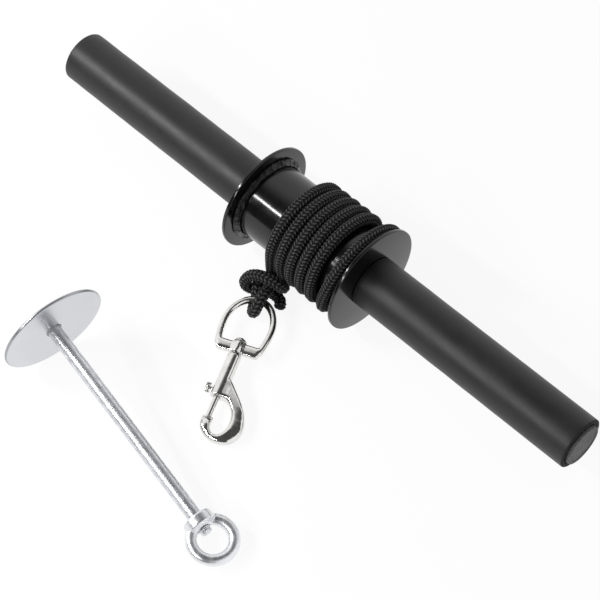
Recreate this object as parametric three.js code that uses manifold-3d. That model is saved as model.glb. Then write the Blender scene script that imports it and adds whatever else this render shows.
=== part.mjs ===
// A wrist roller with its loading pin, built as a three.js scene graph.
// Millimetres, +Z up. The bar lies along X and stands on the two flanges of its spool.
// The cord is wound on the spool and ends in a swivel bolt snap, which lies in front of the bar.
// The loading pin, which carries the weight plates, lies beside it.
import * as THREE from 'three';
import { mergeVertices } from 'three/addons/utils/BufferGeometryUtils.js';
import Module from 'manifold-3d';

const wasm = await Module();
wasm.setup();

// Clearances and the resolution of round surfaces
const SEAT = 0.3; // gap between two pieces that are seated on each other
const RUNNING = 0.3; // gap round a piece that turns or slides
const OVERRUN = 4; // how far a cutter runs past what it cuts
const ROUND_STEPS = 48;
const SMALL_STEPS = 24;

// Bar: a steel tube with a rubber sleeve on each side of the spool
const TUBE_DIAMETER = 30;
const TUBE_WALL = 2;
const SLEEVE_DIAMETER = 38;
const SLEEVE_LENGTH = 183.4;
const SLEEVE_EDGE = 1.6; // rounding of the sleeve's rims
const CAP_PROUD = 2.4; // how far an end cap stands out of its sleeve
const CAP_EDGE = 0.8;
const CAP_SKIRT = 16;
const CAP_SKIRT_WALL = 2.5;

// Spool: a drum between two flanges, welded together
const SPOOL_WIDTH = 98;
const DRUM_DIAMETER = 57;
const DRUM_WALL = 2.5;
const FLANGE_DIAMETER = 80.6;
const FLANGE_THICKNESS = 2.6;
const FLANGE_EDGE = 0.6;
const WELD_LEG = 4.8;
const WELD_BULGE_SHARE = 0.55;
const WELD_RIPPLE_SHARE = 0.1;
const WELD_RIPPLES = 17;

// Cord: wound in one layer from the anchor hole to the front of the drum
const CORD_DIAMETER = 8.4;
const CORD_SIDES = 6;
const CORD_STEPS_PER_TURN = 24;
const LANES_TOTAL = 6;
const FIRST_LANE_INSET = 5.8; // from the flange; this turn rides on the weld
const FIRST_LANE_LIFT = 2.4;
const SECOND_LANE_INSET = 22.8;
const LANE_PITCH = 9.3;
const ANCHOR_LANE_INSET = 11.6;
const ANCHOR_ANGLE = -78;
const ANCHOR_BEND = 5;
const ANCHOR_HOLE_DIAMETER = 9.6;
const FIRST_CROSSING_START = 96; // the first turn slides off the weld early
const CROSSING_START = 165; // the last turn moves to the next lane under the drum
const CROSSING_ADVANCE = 5; // each turn before it starts its move so much earlier
const CROSSING_END = 330;
const LEAVING_ANGLE = 180; // the cord hangs straight down from the front of the drum
const STOPPER_DIAMETER = 18;
const STOPPER_FLATNESS_SHARE = 0.7;

// Cord: the free stretch, the knot and the loop round the swivel ring. Each point is
// across, along and above the surface; along runs from the swivel bar to the spool.
const CORD_END_ROUTE = [
  [2.1, 59.1, 31.4], [2.1, 59.1, 28.2], [2.4, 58.9, 24.2], [2.9, 57.5, 20.5],
  [3.3, 54.6, 17.4], [3.5, 50.6, 15.8], [3.6, 46.0, 16.9], [3.4, 41.2, 19.6],
  [2.4, 35.9, 18.9], [1.0, 32.2, 14.6], [-0.8, 32.0, 9.0], [-2.8, 35.2, 5.0],
  [-3.9, 39.9, 4.3], [-4.0, 44.3, 6.0], [-4.4, 48.0, 11.2], [-5.6, 52.2, 13.4],
  [-5.8, 57.6, 12.9], [-4.0, 62.4, 9.3], [1.0, 64.4, 5.6], [7.2, 62.6, 6.2],
  [11.4, 58.2, 10.5], [12.6, 53.0, 16.4], [9.8, 50.0, 23.2], [3.4, 49.6, 26.6],
  [-4.2, 50.5, 26.4], [-11.0, 50.6, 22.4], [-14.6, 49.6, 15.8], [-13.9, 50.7, 8.8],
  [-9.0, 53.0, 4.8], [-1.6, 54.9, 4.4], [5.2, 53.1, 4.4], [10.6, 49.8, 4.5],
  [13.0, 43.8, 4.4],
];
const CORD_END_STEPS = 80;
const CORD_END_SIDES = 8;

// Swivel ring of the bolt snap: a wire bow on a flat bar
const SNAP_TURN = 24.2; // the snap's direction on the surface, in degrees
const RING_WIRE = 5;
const RING_HALF_WIDTH = 17; // of the wire's centre line
const RING_SHOULDER = 18; // height of the widest place above the bar
const RING_CROWN = 22.4; // from the widest place to the top of the bow
const RING_FOOT = 34; // depth that the bow's lower ellipse would have
const RING_FOOT_ANGLE = -32;
const RING_BAR_LENGTH = 31;
const RING_BAR_HEIGHT = 8;
const RING_BAR_THICKNESS = 5;
const RING_BAR_CORNER = 3;
const RING_LIFT = 12; // height of the wire's centre line where the cord goes round it

// Hook of the bolt snap
const STEM_DIAMETER = 10;
const STEM_LENGTH = 35.2;
const STEM_NECK = 2.4; // chamfer at the stem's top
const SWIVEL_PIN_DIAMETER = 5;
const SWIVEL_PIN_DEPTH = 7;
const RIVET_DIAMETER = 10;
const RIVET_HEIGHT = 3.8;
const HOOK_REACH = 25.5; // from the stem's axis to the far side of the bow
const HOOK_DROP = 47; // from the shoulder to the bottom of the bow
const HOOK_SHOULDER = 25; // from the swivel bar's centre to the shoulder
const HOOK_THICKNESS = 8.6;
const HOOK_EDGE = 1.9;
const HOOK_EDGE_STEPS = 2;
const TIP_HALF_WIDTH = 3.6;
const TIP_START_SHARE = 0.645; // of HOOK_DROP
const SOCKET_DEPTH = 1.6;

// Spring bolt, which closes the hook
const BOLT_DIAMETER = 4.4;
const BOLT_CHAMBER = 26.4; // depth of the bore in the stem
const BOLT_TAIL = 3.2; // length of the bolt above its knob
const BOLT_TRAVEL = 10;
const KNOB_PIN_DIAMETER = 2.6;
const KNOB_DIAMETER = 7;
const KNOB_THICKNESS = 2.8;
const KNOB_STANDOFF = 1.6;
const KNOB_TEETH = 12;
const KNOB_TOOTH = 0.7;
const SLOT_WALL = 3.4; // stem left below the slot
const SPRING_WIRE = 0.7;
const SPRING_CURLS = 9;
const SPRING_SIDES = 5;
const SPRING_STEPS_PER_CURL = 8;

// Loading pin: a disc, a rod welded to it and an eye nut on the rod's thread
const PIN_PLACE_X = -75.1; // the disc's centre, from the middle of the bar
const PIN_PLACE_Y = -175.4;
const PIN_TURN = -8.4;
const DISC_DIAMETER = 76;
const DISC_THICKNESS = 2.5;
const DISC_EDGE = 0.5;
const ROD_DIAMETER = 10;
const ROD_WELD_LEG = 2.2;
const THREAD_DIAMETER = 8;
const THREAD_TIP = 4.6; // how far the thread stands into the eye
const THREAD_EDGE = 0.8;
const EYE_PLACE = 183; // from the disc's back to the eye's centre
const EYE_HOLE_DIAMETER = 20;
const EYE_DIAMETER = 36;
const BOSS_DIAMETER = 21;
const BOSS_HEIGHT = 7.5;
const BOSS_EDGE = 1.2;
const BOSS_NECK_DIAMETER = 13;

// Finishes
const finish = (color, roughness, metalness) =>
  new THREE.MeshStandardMaterial({ color, roughness, metalness });
const RUBBER = finish(0x17181a, 0.55, 0);
const BARE_STEEL = finish(0x9a9ca0, 0.4, 1);
const CAP_PLASTIC = finish(0x55585c, 0.7, 0);
const BLACK_PAINT = finish(0x0b0b0d, 0.12, 0);
const BRAID = finish(0x0e0e10, 0.85, 0);
const NICKEL = finish(0xd2d3d6, 0.1, 1);
const ZINC = finish(0xc4c8ce, 0.28, 1);

// Sizes that follow from the ones above
const TUBE_RADIUS = TUBE_DIAMETER / 2;
const SLEEVE_RADIUS = SLEEVE_DIAMETER / 2;
const DRUM_RADIUS = DRUM_DIAMETER / 2;
const FLANGE_RADIUS = FLANGE_DIAMETER / 2;
const CORD_RADIUS = CORD_DIAMETER / 2;
const SPOOL_FACE = SPOOL_WIDTH / 2;
const FLANGE_FACE = SPOOL_FACE + FLANGE_THICKNESS;
const SLEEVE_START = FLANGE_FACE + SEAT;
const BAR_END = SLEEVE_START + SLEEVE_LENGTH;
const WINDING_RADIUS = DRUM_RADIUS + SEAT + CORD_RADIUS;
const FIRST_LANE = SPOOL_FACE - FIRST_LANE_INSET;
const SECOND_LANE = SPOOL_FACE - SECOND_LANE_INSET;
const ANCHOR_LANE = SPOOL_FACE - ANCHOR_LANE_INSET;
const LAST_LANE = SECOND_LANE - (LANES_TOTAL - 2) * LANE_PITCH;
const BAR_HEIGHT = FLANGE_RADIUS; // the bar's axis above the surface

const radians = THREE.MathUtils.degToRad;

// Merges shared corners, drops flat triangles and turns all faces outwards.
function closedBody(geometry) {
  const bare = geometry.clone();
  for (const name of Object.keys(bare.attributes)) {
    if (name !== 'position') bare.deleteAttribute(name);
  }
  const merged = mergeVertices(bare, 1e-4);
  const source = merged.index.array;
  const place = merged.attributes.position;
  const [a, b, c] = [new THREE.Vector3(), new THREE.Vector3(), new THREE.Vector3()];
  const kept = [];
  let volume = 0;
  for (let i = 0; i < source.length; i += 3) {
    const corners = [source[i], source[i + 1], source[i + 2]];
    if (new Set(corners).size < corners.length) continue;
    a.fromBufferAttribute(place, corners[0]);
    b.fromBufferAttribute(place, corners[1]);
    c.fromBufferAttribute(place, corners[2]);
    volume += a.dot(b.cross(c));
    kept.push(corners);
  }
  const turned = volume < 0 ? kept.map(([p, q, r]) => [p, r, q]) : kept;
  const body = new THREE.BufferGeometry();
  body.setAttribute('position', place);
  body.setIndex(turned.flat());
  return body;
}

function toSolid(geometry) {
  const body = closedBody(geometry);
  return new wasm.Manifold(new wasm.Mesh({
    numProp: 3,
    vertProperties: new Float32Array(body.attributes.position.array),
    triVerts: new Uint32Array(body.index.array),
  }));
}

function toGeometry(solid) {
  const mesh = solid.getMesh();
  const geometry = new THREE.BufferGeometry();
  geometry.setAttribute('position', new THREE.BufferAttribute(mesh.vertProperties, 3));
  geometry.setIndex(new THREE.BufferAttribute(mesh.triVerts, 1));
  return geometry;
}

// Joins the first list of shapes and cuts the second list out of the result.
function shaped(joined, removed = []) {
  let solid = toSolid(joined[0]);
  for (const piece of joined.slice(1)) solid = solid.add(toSolid(piece));
  for (const piece of removed) solid = solid.subtract(toSolid(piece));
  return toGeometry(solid);
}

// Revolves a profile of [radius, place along the axis] about X.
function revolved(profile, steps = ROUND_STEPS) {
  const points = profile.map(([radius, along]) => new THREE.Vector2(radius, along));
  return closedBody(new THREE.LatheGeometry(points, steps).rotateZ(-Math.PI / 2));
}

function roundBar(radius, start, end, steps = SMALL_STEPS) {
  return revolved([[0, start], [radius, start], [radius, end], [0, end]], steps);
}

// A tube whose section is a regular polygon. Where outward is given, a flat of the
// section faces that way, and otherwise the section follows the path without twisting.
function polygonTube(path, radius, sides, outward) {
  const count = path.length;
  const corners = [];
  let facing = new THREE.Vector3(0, 0, 1);
  for (let i = 0; i < count; i += 1) {
    const tangent = path[Math.min(i + 1, count - 1)].clone().sub(path[Math.max(i - 1, 0)]).normalize();
    if (outward) facing = outward[i].clone();
    facing.addScaledVector(tangent, -facing.dot(tangent)).normalize();
    const side = tangent.clone().cross(facing);
    for (let k = 0; k < sides; k += 1) {
      const angle = ((k + 0.5) / sides) * 2 * Math.PI;
      const corner = path[i].clone()
        .addScaledVector(facing, radius * Math.cos(angle))
        .addScaledVector(side, radius * Math.sin(angle));
      corners.push(corner);
    }
  }
  const triangles = [];
  for (let i = 0; i + 1 < count; i += 1) {
    for (let k = 0; k < sides; k += 1) {
      const next = (k + 1) % sides;
      const [p, q, r, s] = [i * sides + k, i * sides + next, (i + 1) * sides + next, (i + 1) * sides + k];
      triangles.push([p, q, r], [p, r, s]);
    }
  }
  const last = (count - 1) * sides;
  for (let k = 1; k + 1 < sides; k += 1) {
    triangles.push([0, k + 1, k], [last, last + k, last + k + 1]);
  }
  const geometry = new THREE.BufferGeometry().setFromPoints(corners);
  geometry.setIndex(triangles.flat());
  return closedBody(geometry);
}

// The least gap of a tube to itself, over all pairs of points that lie more than
// two diameters apart along it.
function leastGap(path, diameter) {
  const along = [0];
  for (let i = 1; i < path.length; i += 1) along.push(along[i - 1] + path[i].distanceTo(path[i - 1]));
  let least = Infinity;
  for (let i = 0; i < path.length; i += 1) {
    for (let j = i + 1; j < path.length; j += 1) {
      if (along[j] - along[i] > 2 * diameter) least = Math.min(least, path[i].distanceTo(path[j]));
    }
  }
  return least - diameter;
}

function pathLength(path) {
  let length = 0;
  for (let i = 1; i < path.length; i += 1) length += path[i].distanceTo(path[i - 1]);
  return length;
}

function node(name, geometry, material) {
  const mesh = new THREE.Mesh(geometry, material);
  mesh.name = name;
  return mesh;
}

// Bar

function coreTube() {
  const inner = TUBE_RADIUS - TUBE_WALL;
  return revolved([
    [inner, -BAR_END], [TUBE_RADIUS, -BAR_END], [TUBE_RADIUS, BAR_END], [inner, BAR_END], [inner, -BAR_END],
  ]);
}

function gripSleeve() {
  const inner = TUBE_RADIUS + SEAT;
  const round = SLEEVE_EDGE;
  const soft = round * (1 - Math.SQRT1_2);
  return revolved([
    [inner, SLEEVE_START],
    [SLEEVE_RADIUS - round, SLEEVE_START],
    [SLEEVE_RADIUS - soft, SLEEVE_START + soft],
    [SLEEVE_RADIUS, SLEEVE_START + round],
    [SLEEVE_RADIUS, BAR_END - round],
    [SLEEVE_RADIUS - soft, BAR_END - soft],
    [SLEEVE_RADIUS - round, BAR_END],
    [inner, BAR_END],
    [inner, SLEEVE_START],
  ]);
}

// A flanged plug whose skirt is pressed into the tube.
function endCap() {
  const face = BAR_END + CAP_PROUD;
  const seat = BAR_END + SEAT;
  const skirt = TUBE_RADIUS - TUBE_WALL - SEAT;
  const inner = skirt - CAP_SKIRT_WALL;
  return revolved([
    [0, seat], [inner, seat], [inner, seat - CAP_SKIRT], [skirt, seat - CAP_SKIRT], [skirt, seat],
    [TUBE_RADIUS, seat], [TUBE_RADIUS, face - CAP_EDGE], [TUBE_RADIUS - CAP_EDGE, face], [0, face],
  ]);
}

// Spool

function anchorCutter(diameter) {
  const cutter = new THREE.CylinderGeometry(diameter / 2, diameter / 2, DRUM_RADIUS, SMALL_STEPS);
  cutter.translate(0, DRUM_RADIUS, 0);
  return cutter.rotateX(radians(ANCHOR_ANGLE)).translate(ANCHOR_LANE, 0, 0);
}

function spoolDrum() {
  const end = SPOOL_FACE - SEAT;
  const inner = DRUM_RADIUS - DRUM_WALL;
  const shell = revolved([
    [inner, -end], [DRUM_RADIUS, -end], [DRUM_RADIUS, end], [inner, end], [inner, -end],
  ]);
  return shaped([shell], [anchorCutter(ANCHOR_HOLE_DIAMETER)]);
}

function flange() {
  const hole = TUBE_RADIUS + SEAT;
  const rim = FLANGE_RADIUS - FLANGE_EDGE;
  return revolved([
    [hole, SPOOL_FACE], [rim, SPOOL_FACE], [FLANGE_RADIUS, SPOOL_FACE + FLANGE_EDGE],
    [FLANGE_RADIUS, FLANGE_FACE - FLANGE_EDGE], [rim, FLANGE_FACE], [hole, FLANGE_FACE], [hole, SPOOL_FACE],
  ]);
}

// A hand-laid fillet weld: its legs grow and shrink round the drum.
function filletWeld(root, face, leg, ripples) {
  const bulge = leg * WELD_BULGE_SHARE;
  const bead = revolved([
    [root, face], [root + leg, face], [root + bulge, face - bulge], [root, face - leg], [root, face],
  ]);
  const place = bead.attributes.position;
  for (let i = 0; i < place.count; i += 1) {
    const radius = Math.hypot(place.getY(i), place.getZ(i));
    const angle = Math.atan2(place.getZ(i), place.getY(i));
    const swell = 1 + WELD_RIPPLE_SHARE * Math.cos(ripples * angle) * Math.cos(2 * angle + 1);
    const grown = (root + (radius - root) * swell) / radius;
    place.setXYZ(i, face + (place.getX(i) - face) * swell, place.getY(i) * grown, place.getZ(i) * grown);
  }
  return bead;
}

// Cord on the drum. Angles grow from the back over the top to the front, from 0 at the back.

function laneOf(turn) {
  return turn === 0 ? FIRST_LANE : SECOND_LANE - (turn - 1) * LANE_PITCH;
}

function eased(value, start, end) {
  return THREE.MathUtils.smootherstep(value, start, end);
}

function windingPoint(angle) {
  const turn = Math.min(Math.max(Math.floor((angle - CROSSING_START) / 360), 0), LANES_TOTAL - 2);
  const advance = (LANES_TOTAL - 2 - turn) * CROSSING_ADVANCE;
  const start = turn === 0 ? FIRST_CROSSING_START : CROSSING_START - advance;
  const crossing = eased(angle - 360 * turn, start, CROSSING_END);
  let place = THREE.MathUtils.lerp(laneOf(turn), laneOf(turn + 1), crossing);
  let radius = WINDING_RADIUS;
  if (turn === 0) {
    place += (ANCHOR_LANE - FIRST_LANE) * (1 - eased(angle, ANCHOR_ANGLE, 0));
    radius += FIRST_LANE_LIFT * (1 - crossing) ** 2;
  }
  const around = radians(angle);
  return new THREE.Vector3(place, radius * Math.cos(around), radius * Math.sin(around));
}

// The cord comes straight out of the anchor hole and bends over onto the drum.
function anchorPoints() {
  const ride = WINDING_RADIUS + FIRST_LANE_LIFT;
  const straight = ride - ANCHOR_BEND;
  const outward = new THREE.Vector3(0, Math.cos(radians(ANCHOR_ANGLE)), Math.sin(radians(ANCHOR_ANGLE)));
  const onward = new THREE.Vector3(0, -outward.z, outward.y);
  const place = (height, ahead) => new THREE.Vector3(ANCHOR_LANE, 0, 0)
    .addScaledVector(outward, height).addScaledVector(onward, ahead);
  const points = [place(straight - CORD_DIAMETER, 0), place(straight, 0)];
  for (const degrees of [30, 60]) {
    const bend = radians(degrees);
    points.push(place(straight + ANCHOR_BEND * Math.sin(bend), ANCHOR_BEND * (1 - Math.cos(bend))));
  }
  return points;
}

function windingPath(stepsPerTurn) {
  const points = anchorPoints();
  const start = ANCHOR_ANGLE + THREE.MathUtils.radToDeg(ANCHOR_BEND / (WINDING_RADIUS + FIRST_LANE_LIFT));
  const end = LEAVING_ANGLE + 360 * (LANES_TOTAL - 1);
  const steps = Math.round(((end - start) / 360) * stepsPerTurn);
  for (let i = 0; i <= steps; i += 1) points.push(windingPoint(start + ((end - start) * i) / steps));
  points.push(windingPoint(end).setZ(-CORD_RADIUS), windingPoint(end).setZ(-CORD_DIAMETER));
  return points;
}

function cordWinding() {
  const path = windingPath(CORD_STEPS_PER_TURN);
  const outward = path.map((point) => new THREE.Vector3(0, point.y, point.z).normalize());
  const onward = new THREE.Vector3(0, -outward[0].z, outward[0].y);
  const bend = anchorPoints().length;
  const up = outward[0].clone();
  for (let i = 0; i < bend; i += 1) {
    outward[i] = onward.clone().negate().addScaledVector(up, i / bend);
  }
  return polygonTube(path, CORD_RADIUS, CORD_SIDES, outward);
}

// The inner end of the cord is tied off behind the hole.
function cordStopper() {
  const outer = WINDING_RADIUS + FIRST_LANE_LIFT - ANCHOR_BEND - CORD_DIAMETER - SEAT;
  const inner = TUBE_RADIUS + SEAT;
  const half = (outer - inner) / 2;
  const profile = [];
  const steps = SMALL_STEPS / 3;
  for (let i = 0; i <= steps; i += 1) {
    const angle = (Math.PI * i) / steps;
    const width = Math.sin(angle) ** STOPPER_FLATNESS_SHARE;
    profile.push(new THREE.Vector2((STOPPER_DIAMETER / 2) * width, -half * Math.cos(angle)));
  }
  const ball = new THREE.LatheGeometry(profile, SMALL_STEPS / 1.5);
  ball.translate(0, (outer + inner) / 2, 0).rotateX(radians(ANCHOR_ANGLE)).translate(ANCHOR_LANE, 0, 0);
  return closedBody(ball);
}

function cordEndPath(steps) {
  const points = CORD_END_ROUTE.map(([across, along, above]) => new THREE.Vector3(across, along, above));
  return new THREE.CatmullRomCurve3(points, false, 'centripetal').getSpacedPoints(steps);
}

// Bolt snap. In its own frame Y runs up the stem towards the spool, Z is the hook's
// thickness, and the origin is the centre of the swivel bar.

const STEM_RADIUS = STEM_DIAMETER / 2;
const STEM_TOP = -RING_BAR_HEIGHT / 2 - RUNNING;
const STEM_END = STEM_TOP - STEM_LENGTH;
const RING_TOP = RING_SHOULDER + RING_CROWN;
const HOOK_BOTTOM = -HOOK_SHOULDER - HOOK_DROP;
const TIP_TOP = -HOOK_SHOULDER - HOOK_DROP * TIP_START_SHARE;
const BOLT_END = TIP_TOP - SOCKET_DEPTH + SEAT;
const BOLT_RADIUS = BOLT_DIAMETER / 2;
const BORE_RADIUS = BOLT_RADIUS + RUNNING;
const SLOT_RADIUS = KNOB_PIN_DIAMETER / 2 + RUNNING;
const KNOB_PLACE = STEM_END + SLOT_WALL + SLOT_RADIUS;
const BOLT_TOP = KNOB_PLACE + BOLT_TAIL;
const CHAMBER_TOP = STEM_END + BOLT_CHAMBER;

// Turns a shape that was revolved about X so that its axis runs along Y.
function alongStem(geometry) {
  return geometry.rotateZ(Math.PI / 2);
}

function stemBar(radius, start, end, steps = SMALL_STEPS) {
  return alongStem(roundBar(radius, start, end, steps));
}

function swivelRing() {
  const bow = [];
  const steps = 40;
  for (let i = 0; i <= steps; i += 1) {
    const angle = radians(THREE.MathUtils.lerp(RING_FOOT_ANGLE, 180 - RING_FOOT_ANGLE, i / steps));
    const height = Math.sin(angle) > 0 ? RING_CROWN : RING_FOOT;
    const across = RING_HALF_WIDTH * Math.cos(angle);
    bow.push(new THREE.Vector3(across, RING_SHOULDER + height * Math.sin(angle), 0));
  }
  const upright = bow.map(() => new THREE.Vector3(0, 0, 1));
  const wire = polygonTube(bow, RING_WIRE / 2, 10, upright);
  const [halfLength, halfHeight] = [RING_BAR_LENGTH / 2, RING_BAR_HEIGHT / 2];
  const edge = RING_BAR_CORNER / 4;
  const outline = new THREE.Shape();
  outline.moveTo(-halfLength, halfHeight);
  outline.lineTo(-halfLength, -halfHeight + RING_BAR_CORNER);
  outline.quadraticCurveTo(-halfLength, -halfHeight, -halfLength + RING_BAR_CORNER, -halfHeight);
  outline.lineTo(halfLength - RING_BAR_CORNER, -halfHeight);
  outline.quadraticCurveTo(halfLength, -halfHeight, halfLength, -halfHeight + RING_BAR_CORNER);
  outline.lineTo(halfLength, halfHeight);
  const bar = new THREE.ExtrudeGeometry(outline, {
    depth: RING_BAR_THICKNESS - 2 * edge, bevelThickness: edge, bevelSize: edge, bevelOffset: -edge,
    bevelSegments: 1, curveSegments: 4,
  });
  bar.translate(0, 0, -RING_BAR_THICKNESS / 2 + edge);
  const boss = stemBar(RIVET_DIAMETER / 2, -halfHeight, halfHeight);
  const hole = stemBar(SWIVEL_PIN_DIAMETER / 2 + RUNNING, -halfHeight - OVERRUN, halfHeight + OVERRUN);
  return shaped([bar, wire, boss], [hole]);
}

// The pin on which the hook turns: a shank through the bar, riveted over inside the ring.
function swivelPin() {
  const shank = SWIVEL_PIN_DIAMETER / 2;
  const head = RIVET_DIAMETER / 2;
  const seat = RING_BAR_HEIGHT / 2 + RUNNING;
  const foot = STEM_TOP - SWIVEL_PIN_DEPTH;
  const profile = [[0, foot], [shank, foot], [shank, seat], [head, seat]];
  const steps = 4;
  for (let i = 1; i <= steps; i += 1) {
    const angle = ((Math.PI / 2) * i) / steps;
    profile.push([head * Math.cos(angle), seat + RIVET_HEIGHT * Math.sin(angle)]);
  }
  return alongStem(revolved(profile, SMALL_STEPS));
}

// The outline of the bow as shares of the hook's reach and of its drop below the shoulder.
const BOW_OUTER_SHARES = [
  [0.19, 0.0], [0.47, 0.17], [0.72, 0.33], [0.9, 0.49], [1.0, 0.68], [0.95, 0.85],
  [0.74, 0.97], [0.42, 1.0], [0.12, 0.95], [-0.09, 0.84], [-0.14, 0.74],
];
const BOW_INNER_SHARES = [
  [0.14, 0.76], [0.19, 0.84], [0.31, 0.895], [0.46, 0.88], [0.57, 0.79],
  [0.61, 0.67], [0.56, 0.52], [0.43, 0.4], [0.27, 0.325],
];

function bowPoint([across, down]) {
  return new THREE.Vector2(across * HOOK_REACH, -HOOK_SHOULDER - down * HOOK_DROP);
}

function hookBow() {
  const outer = BOW_OUTER_SHARES.map(bowPoint);
  const inner = BOW_INNER_SHARES.map(bowPoint);
  const outline = new THREE.Shape();
  outline.moveTo(0, -HOOK_SHOULDER);
  outline.lineTo(outer[0].x, outer[0].y);
  outline.splineThru(outer.slice(1));
  outline.lineTo(-TIP_HALF_WIDTH, TIP_TOP);
  outline.lineTo(TIP_HALF_WIDTH, TIP_TOP);
  outline.lineTo(inner[0].x, inner[0].y);
  outline.splineThru(inner.slice(1));
  outline.lineTo(0, STEM_END);
  const bow = new THREE.ExtrudeGeometry(outline, {
    depth: HOOK_THICKNESS - 2 * HOOK_EDGE, bevelThickness: HOOK_EDGE, bevelSize: HOOK_EDGE,
    bevelOffset: -HOOK_EDGE, bevelSegments: HOOK_EDGE_STEPS, curveSegments: 2,
  });
  return bow.translate(0, 0, -HOOK_THICKNESS / 2 + HOOK_EDGE);
}

function hookBody() {
  const stem = alongStem(revolved([
    [0, STEM_END], [STEM_RADIUS, STEM_END], [STEM_RADIUS, STEM_TOP - STEM_NECK],
    [STEM_RADIUS - STEM_NECK / 2, STEM_TOP], [0, STEM_TOP],
  ], SMALL_STEPS));
  const chamber = stemBar(BORE_RADIUS, STEM_END - OVERRUN, CHAMBER_TOP);
  const socket = stemBar(BORE_RADIUS, TIP_TOP - SOCKET_DEPTH, TIP_TOP + OVERRUN);
  const pinFloor = STEM_TOP - SWIVEL_PIN_DEPTH - SEAT;
  const pinHole = stemBar(SWIVEL_PIN_DIAMETER / 2 + SEAT, pinFloor, STEM_TOP + OVERRUN);
  const slotShape = new THREE.Shape();
  slotShape.absarc(0, KNOB_PLACE, SLOT_RADIUS, Math.PI, 2 * Math.PI);
  slotShape.absarc(0, KNOB_PLACE + BOLT_TRAVEL, SLOT_RADIUS, 0, Math.PI);
  const slot = new THREE.ExtrudeGeometry(slotShape, {
    depth: STEM_RADIUS + OVERRUN, bevelEnabled: false, curveSegments: 6,
  });
  slot.rotateY(-Math.PI / 2);
  return shaped([stem, hookBow()], [chamber, socket, pinHole, slot]);
}

function springBolt() {
  const shaft = stemBar(BOLT_RADIUS, BOLT_END, BOLT_TOP);
  const crossHole = roundBar(KNOB_PIN_DIAMETER / 2 + SEAT, -BOLT_DIAMETER, 0).translate(0, KNOB_PLACE, 0);
  return shaped([shaft], [crossHole]);
}

function thumbKnob() {
  const outline = new THREE.Shape();
  const corners = 4 * KNOB_TEETH;
  for (let i = 0; i < corners; i += 1) {
    const radius = KNOB_DIAMETER / 2 - (i % 4 < 2 ? 0 : KNOB_TOOTH);
    const angle = (2 * Math.PI * i) / corners;
    outline[i === 0 ? 'moveTo' : 'lineTo'](radius * Math.cos(angle), radius * Math.sin(angle));
  }
  const head = new THREE.ExtrudeGeometry(outline, { depth: KNOB_THICKNESS, bevelEnabled: false });
  head.rotateY(-Math.PI / 2).translate(-STEM_RADIUS - KNOB_STANDOFF, KNOB_PLACE, 0);
  const pin = roundBar(KNOB_PIN_DIAMETER / 2, -STEM_RADIUS - KNOB_STANDOFF - KNOB_THICKNESS / 2, -SEAT);
  return shaped([head, pin.translate(0, KNOB_PLACE, 0)]);
}

function springPath(stepsPerCurl) {
  const coil = BOLT_RADIUS - SPRING_WIRE / 2;
  const start = BOLT_TOP + SEAT + SPRING_WIRE / 2;
  const end = CHAMBER_TOP - SEAT - SPRING_WIRE / 2;
  const points = [];
  for (let i = 0; i <= SPRING_CURLS * stepsPerCurl; i += 1) {
    const turn = i / stepsPerCurl;
    const angle = 2 * Math.PI * turn;
    const along = THREE.MathUtils.lerp(start, end, turn / SPRING_CURLS);
    points.push(new THREE.Vector3(coil * Math.cos(angle), along, coil * Math.sin(angle)));
  }
  return points;
}

function boltSpring() {
  const path = springPath(SPRING_STEPS_PER_CURL);
  const outward = path.map((point) => new THREE.Vector3(point.x, 0, point.z).normalize());
  return polygonTube(path, SPRING_WIRE / 2, SPRING_SIDES, outward);
}

// Loading pin. In its own frame X runs from the disc's back along the rod to the eye.

const DISC_RADIUS = DISC_DIAMETER / 2;
const ROD_RADIUS = ROD_DIAMETER / 2;
const THREAD_RADIUS = THREAD_DIAMETER / 2;
const EYE_HOLE_RADIUS = EYE_HOLE_DIAMETER / 2;
const EYE_WIRE = (EYE_DIAMETER - EYE_HOLE_DIAMETER) / 4;
const BOSS_RADIUS = BOSS_DIAMETER / 2;
const NUT_BASE = EYE_PLACE - EYE_DIAMETER / 2;
const BOSS_SHOULDER = NUT_BASE + BOSS_HEIGHT;

function pinDisc() {
  const rim = DISC_RADIUS - DISC_EDGE;
  return revolved([
    [0, 0], [rim, 0], [DISC_RADIUS, DISC_EDGE], [DISC_RADIUS, DISC_THICKNESS - DISC_EDGE],
    [rim, DISC_THICKNESS], [0, DISC_THICKNESS],
  ], ROUND_STEPS * 2);
}

function pinRod() {
  const tip = EYE_PLACE - EYE_HOLE_RADIUS + THREAD_TIP;
  return revolved([
    [0, DISC_THICKNESS + SEAT], [ROD_RADIUS, DISC_THICKNESS + SEAT], [ROD_RADIUS, NUT_BASE - SEAT],
    [THREAD_RADIUS, NUT_BASE - SEAT], [THREAD_RADIUS, tip - THREAD_EDGE],
    [THREAD_RADIUS - THREAD_EDGE, tip], [0, tip],
  ], SMALL_STEPS);
}

function rodWeld() {
  const root = ROD_RADIUS + SEAT;
  const face = DISC_THICKNESS + SEAT;
  const bulge = ROD_WELD_LEG * WELD_BULGE_SHARE;
  return revolved([
    [root, face], [root + ROD_WELD_LEG, face], [root + bulge, face + bulge],
    [root, face + ROD_WELD_LEG], [root, face],
  ], SMALL_STEPS);
}

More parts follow.
